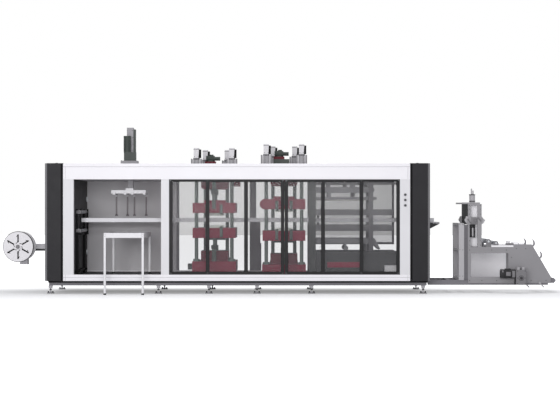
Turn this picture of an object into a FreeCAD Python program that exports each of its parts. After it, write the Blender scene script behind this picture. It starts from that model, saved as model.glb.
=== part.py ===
import FreeCAD, Part
import os

# An in-line thermoforming machine for food packs, seen with its left end at -X and its front at -Y.
# Film comes in from the unwinder on the right, is heated in the oven, formed and cut in two column
# presses, and the packs are lifted off in the open bay on the left, where the waste goes to a reel.
# Millimetres, Z up, origin on the floor under the middle of the bounding box.

# Overall body
body_left = -4704.0
body_length = 7708.0
body_depth = 1900.0
table_reach = 250.0
cabinet_bottom = 260.0
cabinet_top = 2620.0
left_cabinet_width = 364.0
right_cabinet_width = 400.0
cabinet_chamfer = 36.0

# Front frame
frame_top = 2613.0
fascia_height = 316.0
fascia_thickness = 25.0
bottom_rail_foot = 263.0
bottom_rail_height = 126.0
rail_depth = 80.0
left_stile_width = 210.0
right_stile_width = 204.0
bay_width = 1750.0
mid_stile_width = 160.0
groove = 4.0

# Roof
roof_step = 8.0
seam_drop = 78.0
seam_rise = 40.0
eye_d = 76.0
eye_height = 40.0
eye_thickness = 16.0
eye_inset = 300.0
eye_gap = 180.0

# Floor, rails and feet
floor_top = 366.0
base_end_inset = 44.0
base_rail_top = 260.0
base_rail_height = 100.0
base_rail_width = 80.0
base_rail_inset = 220.0
crossbar_width = 80.0
crossbar_height = 80.0
foot_inset = 71.0
last_foot_inset = 113.0
foot_plate_d = 150.0
foot_plate_height = 14.0
foot_stem_d = 28.0
foot_socket_height = 55.0

# Doors
track_height = 18.0
track_plate = 6.0
track_lip = 4.0
door_thickness = 25.0
door_gap = 5.0
door_stile = 62.0
door_top_rail = 36.0
door_bottom_rail = 48.0
door_seat = 0.3
meeting_gap = 3.0
glass_thickness = 6.0

# Rear wall
rear_thickness = 40.0
rear_post_width = 140.0
rear_mid_rail_foot = 1425.0
rear_mid_rail_height = 82.0
rear_edge = 60.0
oven_window_foot = 948.0
oven_window_head = 2236.0
oven_window_bar = 36.0
wide_post_width = 250.0
wide_post_top = 974.0
post_box_left = 55.0
post_box_width = 105.0
post_box_top = 1430.0
post_box_foot = 970.0

# Push buttons
button_top = 1989.0
button_pitch = 107.0
button_x = 106.0
boss_d = 50.0
boss_height = 12.0
cap_d = 36.0
cap_height = 16.0

# Chain rails
chain_foot = 1436.0
chain_height = 82.0
chain_width = 60.0
chain_depth = 600.0
chain_gap = 60.0
chain_overhang = 146.0
slot_margin = 60.0
chain_groove = 14.0
chain_groove_foot = 34.0
chain_groove_head = 20.0

# Presses
column_d = 75.0
column_bore_gap = 2.0
near_half_x = 360.0
far_half_x = 230.0
press_depth_near = 390.0
press_depth_far = 1510.0
near_column_edge = 80.0
far_column_edge = 130.0
column_nut_height = 50.0
platen_half = 435.0
base_half = 445.0
base_plinth_inset = 45.0
base_plinth = 61.0
block_half = 277.0
block_edge = 210.0
crown_taper = 40.0
platen_height = 204.0
platen_cap = 57.0
lower_cap = 43.0
cap_inset = 60.0
mould_half = 175.0
mould_edge = 310.0
upper_mould = 60.0
lower_mould = 50.0
ram_d = 80.0
ram_gap = 0.3
ram_bore_floor = 40.0
ram_end_gap = 15.0
upper_ram_top = 47.0
upper_bore_top = 35.0
sleeve_d = 130.0
cylinder_d = 62.0
cylinder_offset = 146.0
cylinder_reach = 22.0
cylinder_overhang = 33.0
front_rod_d = 72.0
front_rod_reach = 20.0
front_rod_foot = 80.0
front_rod_top = 47.0
guide_width = 140.0
guide_plate = 40.0
guide_collar = 70.0
guide_collar_d = 125.0
jack_inset = 66.0
jack_d = 90.0
jack_height = 258.0
jack_rod_d = 50.0
jack_floor = 15.0
press_1_base_height = 271.0
press_1_pedestal = 210.0
press_1_lower_gap = 118.0
press_1_upper_gap = 106.0
press_1_crown_height = 187.0
press_1_lower_sleeve = 113.0
press_1_upper_sleeve = 120.0
press_2_base_height = 208.0
press_2_pedestal = 212.0
press_2_lower_gap = 175.0
press_2_upper_gap = 183.0
press_2_crown_height = 119.0
press_2_lower_sleeve = 114.0
press_2_upper_sleeve = 118.0
lug_side = 60.0
lug_half_y = 200.0
side_bracket_gap = 376.0
side_bracket_width = 151.0
side_bracket_height = 131.0
side_bracket_depth = 200.0
pump_width = 90.0
pump_foot = 471.0
pump_height = 122.0
pump_depth = 140.0

# Column heads and drives on the roof
head_width = 108.0
head_slab = 40.0
head_step = 30.0
nut_d = 130.0
press_1_nut = 135.0
press_2_nut = 215.0
head_height = 203.0
head_plate_half = 120.0
head_plate = 14.0
head_plate_half_y = 85.0
head_cheek = 20.0
head_cheek_gap = 90.0
drive_offset = 100.0
beam_half_x = 112.0
beam_half_y = 90.0
beam_height = 50.0
press_1_beam_foot = 30.0
press_2_beam_foot = 130.0
drive_motor_d = 120.0
drive_motor_length = 180.0
drive_cover_d = 84.0
drive_side_d = 80.0
drive_side_length = 110.0

# Oven
post_width = 142.0
post_arm_inset = 20.0
post_arm_margin = 10.0
post_depth_near = 440.0
post_depth = 120.0
beam_depth = 80.0
lower_beam_foot = 1256.0
upper_beam_foot = 1574.0
side_beam_height = 124.0
top_beam_foot = 2213.0
top_beam_height = 33.0
oven_post_width = 90.0
heater_gap = 12.0
heater_edge = 580.0
hood_foot = 2040.0
hood_height = 111.0
hood_radius = 50.0
hanger_half = 30.0
spacer_inset = 80.0
spacer_d = 50.0
actuator_d = 62.0
tray_foot = 1895.0
tray_height = 56.0
tray_overhang = 45.0
knob_d = 84.0
knob_length = 30.0
knob_lap = 6.0
clamp_half = 38.0
cabinet_height = 474.0
cabinet_front = 300.0
cabinet_end = 10.0
lower_heater_foot = 996.0
lower_heater_height = 110.0
arm_foot = 873.0
arm_tip_z = 890.0
heater_leg_d = 60.0
heater_leg_inset = 160.0
manifold_foot = 522.0
manifold_height = 109.0
manifold_depth = 30.0
junction_width = 245.0
junction_foot = 431.0
junction_height = 135.0
junction_depth = 120.0
drum_d = 100.0
drum_rise = 16.0

# Picker
picker_depth = 870.0
ram_side = 110.0
ram_clearance = 5.0
ram_guide_gap = 0.3
tower_wall = 7.0
tower_top = 3380.0
tower_plinth = 92.0
tower_plinth_left = 180.0
tower_plinth_right = 150.0
tower_plinth_half_y = 200.0
picker_foot = 2023.0
picker_bar_height = 70.0
picker_bar_left = 390.0
picker_bar_right = 322.0
picker_bar_near = 70.0
picker_bar_far = 20.0
picker_flange_height = 37.0
picker_flange_left = 90.0
picker_flange_right = 70.0
picker_flange_half_y = 90.0
picker_ram_top = 3300.0
cross_arm_half = 25.0
cross_arm_foot = 23.0
cross_arm_head = 17.0
rod_reach = 330.0
rod_foot = 1578.0
pick_rod_d = 34.0
pad_d = 60.0
pad_height = 18.0
outer_rod_left = 330.0
inner_rod_left = 100.0
inner_rod_right = 45.0
outer_rod_right = 290.0
drive_depth = 150.0
drive_foot_height = 172.0
drive_left = 110.0
drive_right = 130.0
drive_body_d = 146.0
drive_body_height = 334.0
drive_body_x = 50.0
side_plate = 42.0
side_plate_drop = 35.0

# Table
table_half = 398.0
table_leg = 44.0
table_top = 1229.0
table_beam = 99.0
table_depth_far = 1152.0
tray_drop = 6.0
tray_plate = 18.0

# Exit stand
stand_post = 45.0
stand_near = 350.0
stand_far = 1350.0
stand_top = 1219.0
stand_bar = 47.0
stand_low_bar = 474.0
stand_arm = 35.0
stand_strip = 28.0
stand_strip_gap = 46.0
stand_strip_depth = 40.0
stand_strip_top = 1700.0
exit_roller_d = 70.0
exit_roller_z = 1262.0
exit_roller_pitch = 380.0

# Waste reel
reel_gap = 596.0
reel_z = 940.0
reel_d = 600.0
reel_rear_d = 622.0
disc_thickness = 16.0
rim_thickness = 20.0
reel_depth = 300.0
reel_width = 350.0
reel_hub_d = 110.0
reel_hub = 24.0
reel_core_d = 150.0
reel_slot_half = 14.0
reel_slot_inner = 95.0
reel_slot_outer = 245.0
shaft_d = 60.0
shaft_gap = 0.3
shaft_short = 2.0
arm_side_gap = 6.0
arm_height = 144.0
arm_edge = 20.0
arm_depth = 110.0
reel_drive_left = 60.0
reel_drive_right = 105.0
reel_drive_depth = 120.0
reel_drive_foot = 379.0
reel_drive_head = 60.0

# Unwinder
unwinder_gap = 816.0
plate_length = 1688.0
plate_foot = 199.0
plate_thickness = 20.0
plate_depth_near = 400.0
unwinder_width = 950.0
plate_shelf = 932.0
plate_top = 987.0
plate_shoulder = 1290.0
plate_slope = 1310.0
plate_slope_z = 963.0
plate_toe = 18.0
plate_toe_z = 321.0
window_inset = 60.0
window_end = 818.0
window_foot = 325.0
window_head = 808.0
window_radius = 24.0
sheet_lap = 12.0
sheet_thickness = 4.0
unwinder_rail_inset = 60.0
rail_end = 163.0
rail_end_top = 43.0
crossbar_1 = 400.0
crossbar_2 = 380.0
crossbar_3 = 308.0
portal_gap = 85.0
portal_width = 105.0
portal_depth = 60.0
portal_top = 1415.0
portal_bar = 45.0
portal_mid_foot = 850.0
portal_mid = 50.0
portal_low = 60.0
web_depth = 40.0
web_foot = 300.0
web_top = 1367.0
mast_width = 276.0
mast_top = 1837.0
mast_cap = 32.0
mast_cap_left = 120.0
mast_cap_right = 35.0
mast_window_inset = 56.0
mast_window_width = 140.0
mast_upper_foot = 1538.0
mast_upper_head = 1771.0
mast_lower_head = 1390.0
mast_wall = 12.0
wing_reach = 72.0
wing_thickness = 44.0
wing_foot = 1391.0
wing_low = 1414.0
wing_mid = 1476.0
wing_high = 1507.0
wing_head = 1554.0
jack_x = 86.0
lift_motor_d = 116.0
lift_motor_height = 163.0
lift_rod_d = 26.0
lift_rod_height = 117.0
lift_rod_x = 14.0
second_rod_x = 18.0
second_rod_height = 78.0
clamp_cylinder_d = 120.0
clamp_cylinder_foot = 1126.0
rail_strip_left = 472.0
rail_strip_right = 921.0
rail_strip_height = 33.0
block_1_left = 925.0
block_1_width = 95.0
block_1_height = 48.0
block_2_left = 1035.0
block_2_width = 95.0
block_2_height = 23.0
roller_gap = 0.3
roller_end_gap = 10.0
journal_d = 44.0
bearing_half = 50.0
bearing_over = 42.0
roller_1_x = 418.0
roller_1_z = 1046.0
roller_1_d = 100.0
roller_2_x = 570.0
roller_2_z = 1012.0
roller_2_d = 84.0
motor_depth = 110.0
motor_left = 638.0
motor_length = 300.0
motor_z = 394.0
motor_d = 176.0
motor_flange_d = 186.0
motor_flange = 50.0
gearbox_width = 207.0
gearbox_foot = 176.0
gearbox_height = 300.0
gearbox_depth = 200.0
gear_lug = 50.0
gear_lug_gap = 30.0
gear_lug_height = 50.0

# Infeed table
infeed_foot = 1300.0
infeed_mid = 1400.0
infeed_flat = 60.0
infeed_reach = 258.0
infeed_margin = 20.0

front = (table_reach - body_depth) / 2
rear = front + body_depth
body_right = body_left + body_length
left_inner = body_left + left_cabinet_width
right_inner = body_right - right_cabinet_width
fascia_foot = frame_top - fascia_height
rail_top = bottom_rail_foot + bottom_rail_height
bay_left = left_inner + left_stile_width
bay_right = bay_left + bay_width
window_left = bay_right + mid_stile_width
window_right = right_inner - right_stile_width
window_middle = (window_left + window_right) / 2
pane_pitch = (window_right - window_left) / 6
rail_near_y = front + base_rail_inset
rail_far_y = rear - base_rail_inset - base_rail_width
chain_near_y = front + chain_depth
chain_far_y = rear - chain_depth - chain_width
chain_left = bay_left + chain_gap
chain_right = body_right + chain_overhang
deck_top = frame_top - roof_step
window_width = window_right - window_left
oven_left = window_left + 0.6381 * window_width
oven_length = window_right - oven_left
press_room = oven_left - post_width - window_left - 4 * base_half
press_1_x = window_left + base_half + 0.424 * press_room
press_2_x = press_1_x + 2 * base_half + 0.5166 * press_room
picker_x = bay_left + 0.5943 * bay_width
table_x = bay_left + 0.5903 * bay_width
reel_x = body_left - reel_gap
chain_top = chain_foot + chain_height
press_near = front + press_depth_near
press_far = front + press_depth_far
press_middle = (press_near + press_far) / 2
plate_left = body_right + unwinder_gap
plate_right = plate_left + plate_length
portal_left = plate_left - portal_gap - portal_width


def block(x0, x1, y0, y1, z0, z1):
    return Part.makeBox(x1 - x0, y1 - y0, z1 - z0, FreeCAD.Vector(x0, y0, z0))


def upright(x, y, z0, z1, diameter):
    return Part.makeCylinder(diameter / 2, z1 - z0, FreeCAD.Vector(x, y, z0), FreeCAD.Vector(0, 0, 1))


def across(x, z, y0, y1, diameter):
    return Part.makeCylinder(diameter / 2, y1 - y0, FreeCAD.Vector(x, y0, z), FreeCAD.Vector(0, 1, 0))


def profile_along_y(points, y0, y1):
    corners = [FreeCAD.Vector(x, y0, z) for x, z in points]
    face = Part.Face(Part.makePolygon(corners + corners[:1]))
    return face.extrude(FreeCAD.Vector(0, y1 - y0, 0))


def profile_along_z(points, z0, z1):
    corners = [FreeCAD.Vector(x, y, z0) for x, y in points]
    face = Part.Face(Part.makePolygon(corners + corners[:1]))
    return face.extrude(FreeCAD.Vector(0, 0, z1 - z0))


def joined(shapes):
    return shapes[0].fuse(shapes[1:]).removeSplitter() if len(shapes) > 1 else shapes[0]


def save(name, shapes):
    shape = Part.makeCompound(shapes) if len(shapes) > 1 else shapes[0]
    shape.exportStep("parts/" + name + ".step")


def outer_edges(shape, x_outer, tolerance=0.1):
    chosen = []
    for edge in shape.Edges:
        box = edge.BoundBox
        on_side = abs(box.XMin - x_outer) < tolerance and abs(box.XMax - x_outer) < tolerance
        if on_side and box.ZMax > cabinet_bottom + tolerance:
            chosen.append(edge)
    return chosen


def foot(x, y, top):
    plate = upright(x, y, 0, foot_plate_height, foot_plate_d)
    cone = Part.makeCone(foot_plate_d / 3, foot_stem_d / 2, foot_plate_height,
                         FreeCAD.Vector(x, y, foot_plate_height))
    stem = upright(x, y, foot_plate_height, top, foot_stem_d)
    half = base_rail_width / 2
    socket_foot = top - foot_socket_height
    socket = profile_along_y([(x - foot_stem_d, socket_foot), (x + foot_stem_d, socket_foot),
                              (x + half, top), (x - half, top)], y - half, y + half)
    return joined([plate, cone, stem, socket])


# Base: two long rails with crossbars on levelling feet, and two rails on which the unwinder hangs
base_left = body_left + base_end_inset
base_right = body_right - base_end_inset
unwinder_rail_right = plate_right - unwinder_rail_inset
unwinder_rail_near = front + plate_depth_near + plate_thickness
unwinder_rail_far = front + plate_depth_near + unwinder_width - plate_thickness - base_rail_width
base_rail_foot = base_rail_top - base_rail_height


def make_base():
    pieces = [block(base_left, base_right, y, y + base_rail_width, base_rail_foot, base_rail_top)
              for y in (rail_near_y, rail_far_y)]
    bays = 7
    pitch = (base_right - base_left - crossbar_width) / bays
    for index in range(bays + 1):
        x = base_left + index * pitch
        pieces.append(block(x, x + crossbar_width, rail_near_y + base_rail_width, rail_far_y,
                            base_rail_top - crossbar_height, base_rail_top))
    save("base_rails", pieces)
    places = [body_left + foot_inset, body_right - last_foot_inset]
    places += [body_left + share * body_length for share in (0.2919, 0.424, 0.55, 0.6932)]
    save("levelling_feet", [foot(x, y + base_rail_width / 2, base_rail_foot)
                            for x in places for y in (rail_near_y, rail_far_y)])
    rails = [block(body_right, unwinder_rail_right, y, y + base_rail_width, base_rail_foot, base_rail_top)
             for y in (unwinder_rail_near, unwinder_rail_far)]
    for x in (body_right + crossbar_1, plate_left + crossbar_2, plate_right - crossbar_3):
        rails.append(block(x, x + crossbar_width, unwinder_rail_near + base_rail_width, unwinder_rail_far,
                           base_rail_top - crossbar_height, base_rail_top))
    tip = unwinder_rail_right + rail_end
    shoulder = tip - rail_end_top
    end_foot = base_rail_foot + crossbar_height / 2
    end_box = profile_along_y([(unwinder_rail_right, end_foot), (shoulder, end_foot), (tip, base_rail_top),
                               (shoulder, base_rail_top + rail_end_top),
                               (unwinder_rail_right, base_rail_top + rail_end_top)],
                              unwinder_rail_near, unwinder_rail_far + base_rail_width)
    save("unwinder_rails", [joined(rails), end_box])


# Housing: end cabinets, white frame, floor, roof and rear wall
def make_housing():
    left = block(body_left, left_inner, front, rear, cabinet_bottom, cabinet_top)
    left = left.makeChamfer(cabinet_chamfer, outer_edges(left, body_left))
    inner = [block(left_inner, bay_left, front + rail_depth, rear - rail_depth, floor_top, fascia_foot),
             block(left_inner, bay_left, front + rail_depth, rear, rail_top, fascia_foot)]
    save("left_end_cabinet", [joined([left] + inner)])
    right = block(right_inner, body_right, front, rear, cabinet_bottom, cabinet_top)
    right = right.makeChamfer(cabinet_chamfer, outer_edges(right, body_right))
    slot = block(right_inner - 1, body_right + 1, chain_near_y - slot_margin,
                 chain_far_y + chain_width + slot_margin, chain_foot, chain_top + slot_margin)
    save("right_end_cabinet", [right.cut(slot)])

    fascias = []
    for y0, y1, face in ((front, front + fascia_thickness, front),
                         (rear - fascia_thickness, rear, rear)):
        fascia = block(left_inner, right_inner, y0, y1, fascia_foot, frame_top)
        seam = block(left_inner, right_inner, face - groove, face + groove,
                     frame_top - seam_drop - groove, frame_top - seam_drop)
        fascias.append(fascia.cut(seam))
    save("top_fascias", fascias)

    well = ram_side / 2 + ram_clearance
    deck = block(left_inner, right_inner, front + fascia_thickness, rear - fascia_thickness,
                 fascia_foot, deck_top)
    well_y = front + picker_depth
    deck = deck.cut(block(picker_x - well, picker_x + well, well_y - well, well_y + well,
                          fascia_foot - 1, frame_top))
    save("roof_deck", [deck])
    eyes = []
    for x in (bay_right - eye_gap, window_left + 0.3775 * window_width, window_left + 0.673 * window_width):
        for y in (front + eye_inset, rear - eye_inset):
            plate = block(x - eye_d / 2, x + eye_d / 2, y - eye_thickness / 2, y + eye_thickness / 2,
                          deck_top, deck_top + eye_height)
            hole = across(x, deck_top + eye_height / 2, y - eye_thickness, y + eye_thickness, eye_height / 2)
            ring = upright(x, y, deck_top, deck_top + eye_thickness / 2, eye_d)
            eyes.append(joined([plate.cut(hole), ring]))
    save("lifting_eyes", eyes)

    rails = []
    for y0, y1, face in ((front, front + rail_depth, front), (rear - rail_depth, rear, rear)):
        rail = block(left_inner, right_inner, y0, y1, bottom_rail_foot, rail_top)
        seam = block(left_inner, right_inner, face - groove, face + groove,
                     bottom_rail_foot + seam_rise, bottom_rail_foot + seam_rise + groove)
        rails.append(rail.cut(seam))
    save("bottom_rails", rails)

    stiles = []
    for x0, x1 in ((left_inner, bay_left), (bay_right, window_left), (window_right, right_inner)):
        stiles.append(block(x0, x1, front, front + rail_depth, rail_top, fascia_foot))
    save("front_stiles", stiles)

    save("floor_deck", [block(left_inner, right_inner, front + rail_depth, rear - rail_depth,
                              base_rail_top, floor_top)])
    save("rear_panel", [block(bay_left, window_left, rear - rear_thickness, rear, rail_top, fascia_foot)])
    make_rear_frame()


def make_rear_frame():
    rear_y = rear - rear_thickness
    half = rear_post_width / 2
    middle_x = window_left + 0.355 * window_width
    oven_post_x = oven_left - post_width / 2
    pieces = []
    for left, right in ((window_left, window_left + rear_edge), (middle_x - half, middle_x + half),
                        (oven_post_x - half, oven_post_x + half)):
        pieces.append(block(left, right, rear_y, rear, rail_top, fascia_foot))
    pieces.append(block(window_left + rear_edge, oven_post_x - half, rear_y, rear, rear_mid_rail_foot,
                        rear_mid_rail_foot + rear_mid_rail_height))
    pieces.append(block(middle_x - half, middle_x - half + wide_post_width, rear_y, rear, rail_top,
                        wide_post_top))
    box_left = middle_x + post_box_left
    pieces.append(block(box_left, box_left + post_box_width, rear_y, rear, post_box_foot, post_box_top))
    pane_left = oven_post_x + half
    pane_right = window_right + cabinet_end
    pieces.append(block(pane_left, pane_right + oven_window_bar, rear_y, rear, oven_window_head, fascia_foot))
    pieces.append(block(pane_left, pane_right + oven_window_bar, rear_y, rear, oven_window_foot,
                        oven_window_foot + oven_window_bar))
    pieces.append(block(pane_right, pane_right + oven_window_bar, rear_y, rear, oven_window_foot, fascia_foot))
    save("rear_frame", [joined(pieces)])
    middle = rear - rear_thickness / 2
    save("rear_glass", [block(pane_left, pane_right, middle, middle + glass_thickness,
                              oven_window_foot + oven_window_bar, oven_window_head)])


# Front doors: two tall leaves slide apart in front of the outer fixed panels
door_y = front + 2 * track_lip
fixed_y = door_y + door_thickness + door_gap + track_lip
leaf_foot = rail_top + track_plate
leaf_top = fascia_foot - track_plate


def framed_panel(x0, x1, y, foot_z, top_z, mullions):
    frame = block(x0, x1, y, y + door_thickness, foot_z, top_z)
    edges = [x0 + door_stile]
    for mullion in mullions:
        edges += [mullion - door_stile / 2, mullion + door_stile / 2]
    edges.append(x1 - door_stile)
    panes = []
    middle = y + (door_thickness - glass_thickness) / 2
    for hole_left, hole_right in zip(edges[0::2], edges[1::2]):
        z0 = foot_z + door_bottom_rail
        z1 = top_z - door_top_rail
        frame = frame.cut(block(hole_left, hole_right, y - 1, y + door_thickness + 1, z0, z1))
        panes.append(block(hole_left, hole_right, middle, middle + glass_thickness, z0, z1))
    return frame, panes


def make_doors():
    tracks = []
    track_end = fixed_y + door_thickness + track_lip
    lips = (door_y - 2 * track_lip, door_y + door_thickness + track_lip / 2 + 1, track_end - track_lip / 2)
    for plate_z, lip_z in ((rail_top, rail_top), (fascia_foot - track_plate, fascia_foot - track_height)):
        pieces = [block(window_left, window_right, door_y - 2 * track_lip, track_end,
                        plate_z, plate_z + track_plate)]
        for y in lips:
            pieces.append(block(window_left, window_right, y, y + track_lip / 2, lip_z, lip_z + track_height))
        tracks.append(joined(pieces))
    save("door_tracks", tracks)

    left_edge = window_left + pane_pitch + door_stile / 2
    right_edge = window_right - pane_pitch - door_stile / 2
    left_fixed = framed_panel(window_left, left_edge, fixed_y, leaf_foot, leaf_top, [])
    right_fixed = framed_panel(right_edge, window_right, fixed_y, leaf_foot, leaf_top, [])
    save("fixed_panel_frames", [left_fixed[0], right_fixed[0]])
    save("fixed_panel_glass", left_fixed[1] + right_fixed[1])

    left_leaf = framed_panel(left_edge - door_stile, window_middle - meeting_gap, door_y,
                             leaf_foot + door_seat, leaf_top - door_gap, [window_left + 2 * pane_pitch])
    right_leaf = framed_panel(window_middle + meeting_gap, right_edge + door_stile, door_y,
                              leaf_foot + door_seat, leaf_top - door_gap, [window_right - 2 * pane_pitch])
    save("left_door_frame", [left_leaf[0]])
    save("left_door_glass", left_leaf[1])
    save("right_door_frame", [right_leaf[0]])
    save("right_door_glass", right_leaf[1])

    buttons = []
    for row in range(3):
        z = button_top - row * button_pitch
        boss = across(window_right + button_x, z, front - boss_height, front, boss_d)
        cap = across(window_right + button_x, z, front - boss_height - cap_height, front - boss_height, cap_d)
        buttons.append(joined([boss, cap]))
    save("push_buttons", buttons)


# Chain rails carry the film through the presses and the oven
def make_chain_rails():
    rails = []
    for y in (chain_near_y, chain_far_y):
        rail = block(chain_left, chain_right, y, y + chain_width, chain_foot, chain_top)
        inner = y + chain_width if y == chain_near_y else y
        slot = block(chain_left - 1, chain_right + 1, inner - chain_groove, inner + chain_groove,
                     chain_top - chain_groove_foot, chain_top - chain_groove_head)
        rails.append(rail.cut(slot))
    save("chain_rails", rails)

    posts = []
    post_left = oven_left - post_width
    post_near = front + post_depth_near
    post_far = rear - post_depth_near - post_depth
    for y0, arm0, arm1 in ((post_near, post_near + post_depth, chain_near_y),
                           (post_far, chain_far_y + chain_width, post_far)):
        post = block(post_left, oven_left, y0, y0 + post_depth, floor_top, fascia_foot)
        arm = block(post_left + post_arm_inset, oven_left - post_arm_inset, arm0, arm1,
                    chain_foot + post_arm_margin, chain_top - post_arm_margin)
        posts.append(joined([post, arm]))
    save("partition_posts", posts)


# Presses: a base, four columns, a red crown and pedestal with the ram sleeves, a front jack and its
# guide, and two platens that close on the film from above and below
def press(centre, base_top, pedestal_top, lower_foot, upper_foot, crown_foot, lower_sleeve, upper_sleeve):
    column_places = [(centre + side * half, y) for half, y in ((near_half_x, press_near + near_column_edge),
                                                              (far_half_x, press_far - far_column_edge))
                     for side in (-1, 1)]
    inset = base_half - base_plinth_inset
    plinth = block(centre - inset, centre + inset, press_near + base_plinth_inset, press_far - base_plinth_inset,
                   floor_top, floor_top + base_plinth)
    bed = block(centre - base_half, centre + base_half, press_near, press_far, floor_top + base_plinth, base_top)
    jack_y = press_near + jack_inset
    base = joined([plinth, bed])
    jack_top = base_top + jack_height
    jack = joined([upright(centre, jack_y, base_top, jack_top, jack_d),
                   upright(centre, jack_y, jack_top, jack_top + guide_collar, guide_collar_d)])
    jack = jack.cut(upright(centre, jack_y, base_top + jack_floor, jack_top + guide_collar + 1,
                            jack_rod_d + 2 * ram_gap))

    columns = [joined([upright(x, y, base_top, fascia_foot, column_d),
                       octagon(x, y, base_top, base_top + column_nut_height)]) for x, y in column_places]

    block_near = press_near + block_edge
    block_far = press_far - block_edge
    pedestal = block(centre - block_half, centre + block_half, block_near, block_far, base_top, pedestal_top)
    lower_bore = base_top + ram_bore_floor
    pedestal = joined([pedestal, upright(centre, press_middle, pedestal_top, lower_sleeve, sleeve_d)])
    pedestal = pedestal.cut(upright(centre, press_middle, lower_bore, lower_sleeve + 1, ram_d + 2 * ram_gap))

    crown = profile_along_y([(centre - block_half, fascia_foot), (centre - block_half, crown_foot + crown_taper),
                             (centre - block_half + crown_taper, crown_foot),
                             (centre + block_half - crown_taper, crown_foot),
                             (centre + block_half, crown_foot + crown_taper), (centre + block_half, fascia_foot)],
                            block_near, block_far)
    guide_y = press_near - front_rod_reach
    guide = block(centre - guide_width / 2, centre + guide_width / 2, guide_y - guide_width / 2,
                  block_near + guide_width, crown_foot - guide_plate, crown_foot)
    collar = upright(centre, guide_y, crown_foot - guide_plate - guide_collar, crown_foot - guide_plate,
                     guide_collar_d)
    crown = joined([crown, guide, collar, upright(centre, press_middle, upper_sleeve, crown_foot, sleeve_d)])
    crown = crown.cut(upright(centre, press_middle, upper_sleeve - 1, fascia_foot - upper_bore_top,
                              ram_d + 2 * ram_gap))
    crown = crown.cut(upright(centre, guide_y, upper_sleeve - guide_collar, crown_foot + 1,
                              front_rod_d + 2 * ram_gap))

    lower = platen(centre, lower_foot, column_places)
    lower_top = lower_foot + platen_height
    cap_half = block_half - cap_inset
    cap = block(centre - cap_half, centre + cap_half, block_near, block_far, lower_foot - lower_cap, lower_foot)
    ram = upright(centre, press_middle, lower_bore + ram_end_gap, lower_foot, ram_d)
    rod = upright(centre, jack_y, base_top + 2 * jack_floor, lower_foot, jack_rod_d)
    mould = mould_plate(centre, lower_top, lower_top + lower_mould)
    small = balance_cylinders(centre, lower_foot + cylinder_overhang / 2, lower_top + cylinder_overhang)
    lower = joined([lower, cap, ram, rod, mould] + small)

    upper = platen(centre, upper_foot, column_places)
    upper_top = upper_foot + platen_height
    cap = block(centre - cap_half, centre + cap_half, block_near, block_far, upper_top, upper_top + platen_cap)
    ram = upright(centre, press_middle, upper_top, fascia_foot - upper_ram_top, ram_d)
    rod = upright(centre, guide_y, upper_foot + front_rod_foot, fascia_foot - front_rod_top, front_rod_d)
    mould = mould_plate(centre, upper_foot - upper_mould, upper_foot)
    small = balance_cylinders(centre, upper_foot - cylinder_overhang, upper_top - cylinder_overhang)
    upper = joined([upper, cap, ram, rod, mould] + small)
    return base, jack, columns, pedestal, crown, lower, upper, column_places


def mould_plate(centre, z0, z1):
    return block(centre - mould_half, centre + mould_half, press_near + mould_edge, press_far - mould_edge, z0, z1)


def platen(centre, foot_z, column_places):
    plate = block(centre - platen_half, centre + platen_half, press_near, press_far, foot_z,
                  foot_z + platen_height)
    top_z = foot_z + platen_height + 1
    holes = [upright(x, y, foot_z - 1, top_z, column_d + 2 * column_bore_gap) for x, y in column_places]
    return plate.cut(Part.makeCompound(holes))


def balance_cylinders(centre, z0, z1):
    places = (centre - cylinder_offset, centre + cylinder_offset)
    return [upright(x, press_near - cylinder_d / 2 + cylinder_reach, z0, z1, cylinder_d) for x in places]


def octagon(x, y, z0, z1):
    side = nut_d / 2
    half = side / 2
    return profile_along_z([(x - side, y - half), (x - half, y - side), (x + half, y - side),
                            (x + side, y - half), (x + side, y + half), (x + half, y + side),
                            (x - half, y + side), (x - side, y + half)], z0, z1)


def column_head(x, y, nut_height):
    nut_top = deck_top + nut_height
    top = nut_top + head_height
    half = head_width / 2
    pieces = [octagon(x, y, deck_top, nut_top),
              block(x - half, x + half, y - half, y + half, nut_top, top),
              block(x + half, x + half + head_slab, y - half, y + half, nut_top, top - head_step),
              block(x - head_plate_half, x + head_plate_half, y - head_plate_half_y, y + head_plate_half_y,
                    deck_top, deck_top + head_plate)]
    for side in (x - head_cheek_gap - head_cheek, x + head_cheek_gap):
        pieces.append(block(side, side + head_cheek, y - half, y + half, deck_top, nut_top - head_plate))
    return joined(pieces)


def along(x, y, z, length, diameter):
    return Part.makeCylinder(diameter / 2, length, FreeCAD.Vector(x, y, z), FreeCAD.Vector(1, 0, 0))


def roof_drive(centre, beam_foot):
    x = centre - drive_offset
    y = press_middle
    foot_z = deck_top + beam_foot
    beam = block(x - beam_half_x, x + beam_half_x, y - beam_half_y, y + beam_half_y, foot_z,
                 foot_z + beam_height)
    support = block(x - beam_half_x, x + beam_half_x + drive_offset, y - beam_half_y, y + beam_half_y,
                    deck_top, foot_z)
    motor_z = foot_z + beam_height + drive_motor_d / 2
    motor = along(x - drive_motor_length / 2, y, motor_z, drive_motor_length, drive_motor_d)
    seat = block(x - beam_height, x + beam_height, y - beam_height, y + beam_height, foot_z + beam_height, motor_z)
    cover = upright(x + head_cheek, y, motor_z, motor_z + drive_cover_d, drive_cover_d)
    side = along(x + drive_motor_length / 2, y, motor_z, drive_side_length, drive_side_d)
    return beam, [support, joined([motor, seat, cover, side])]


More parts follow.
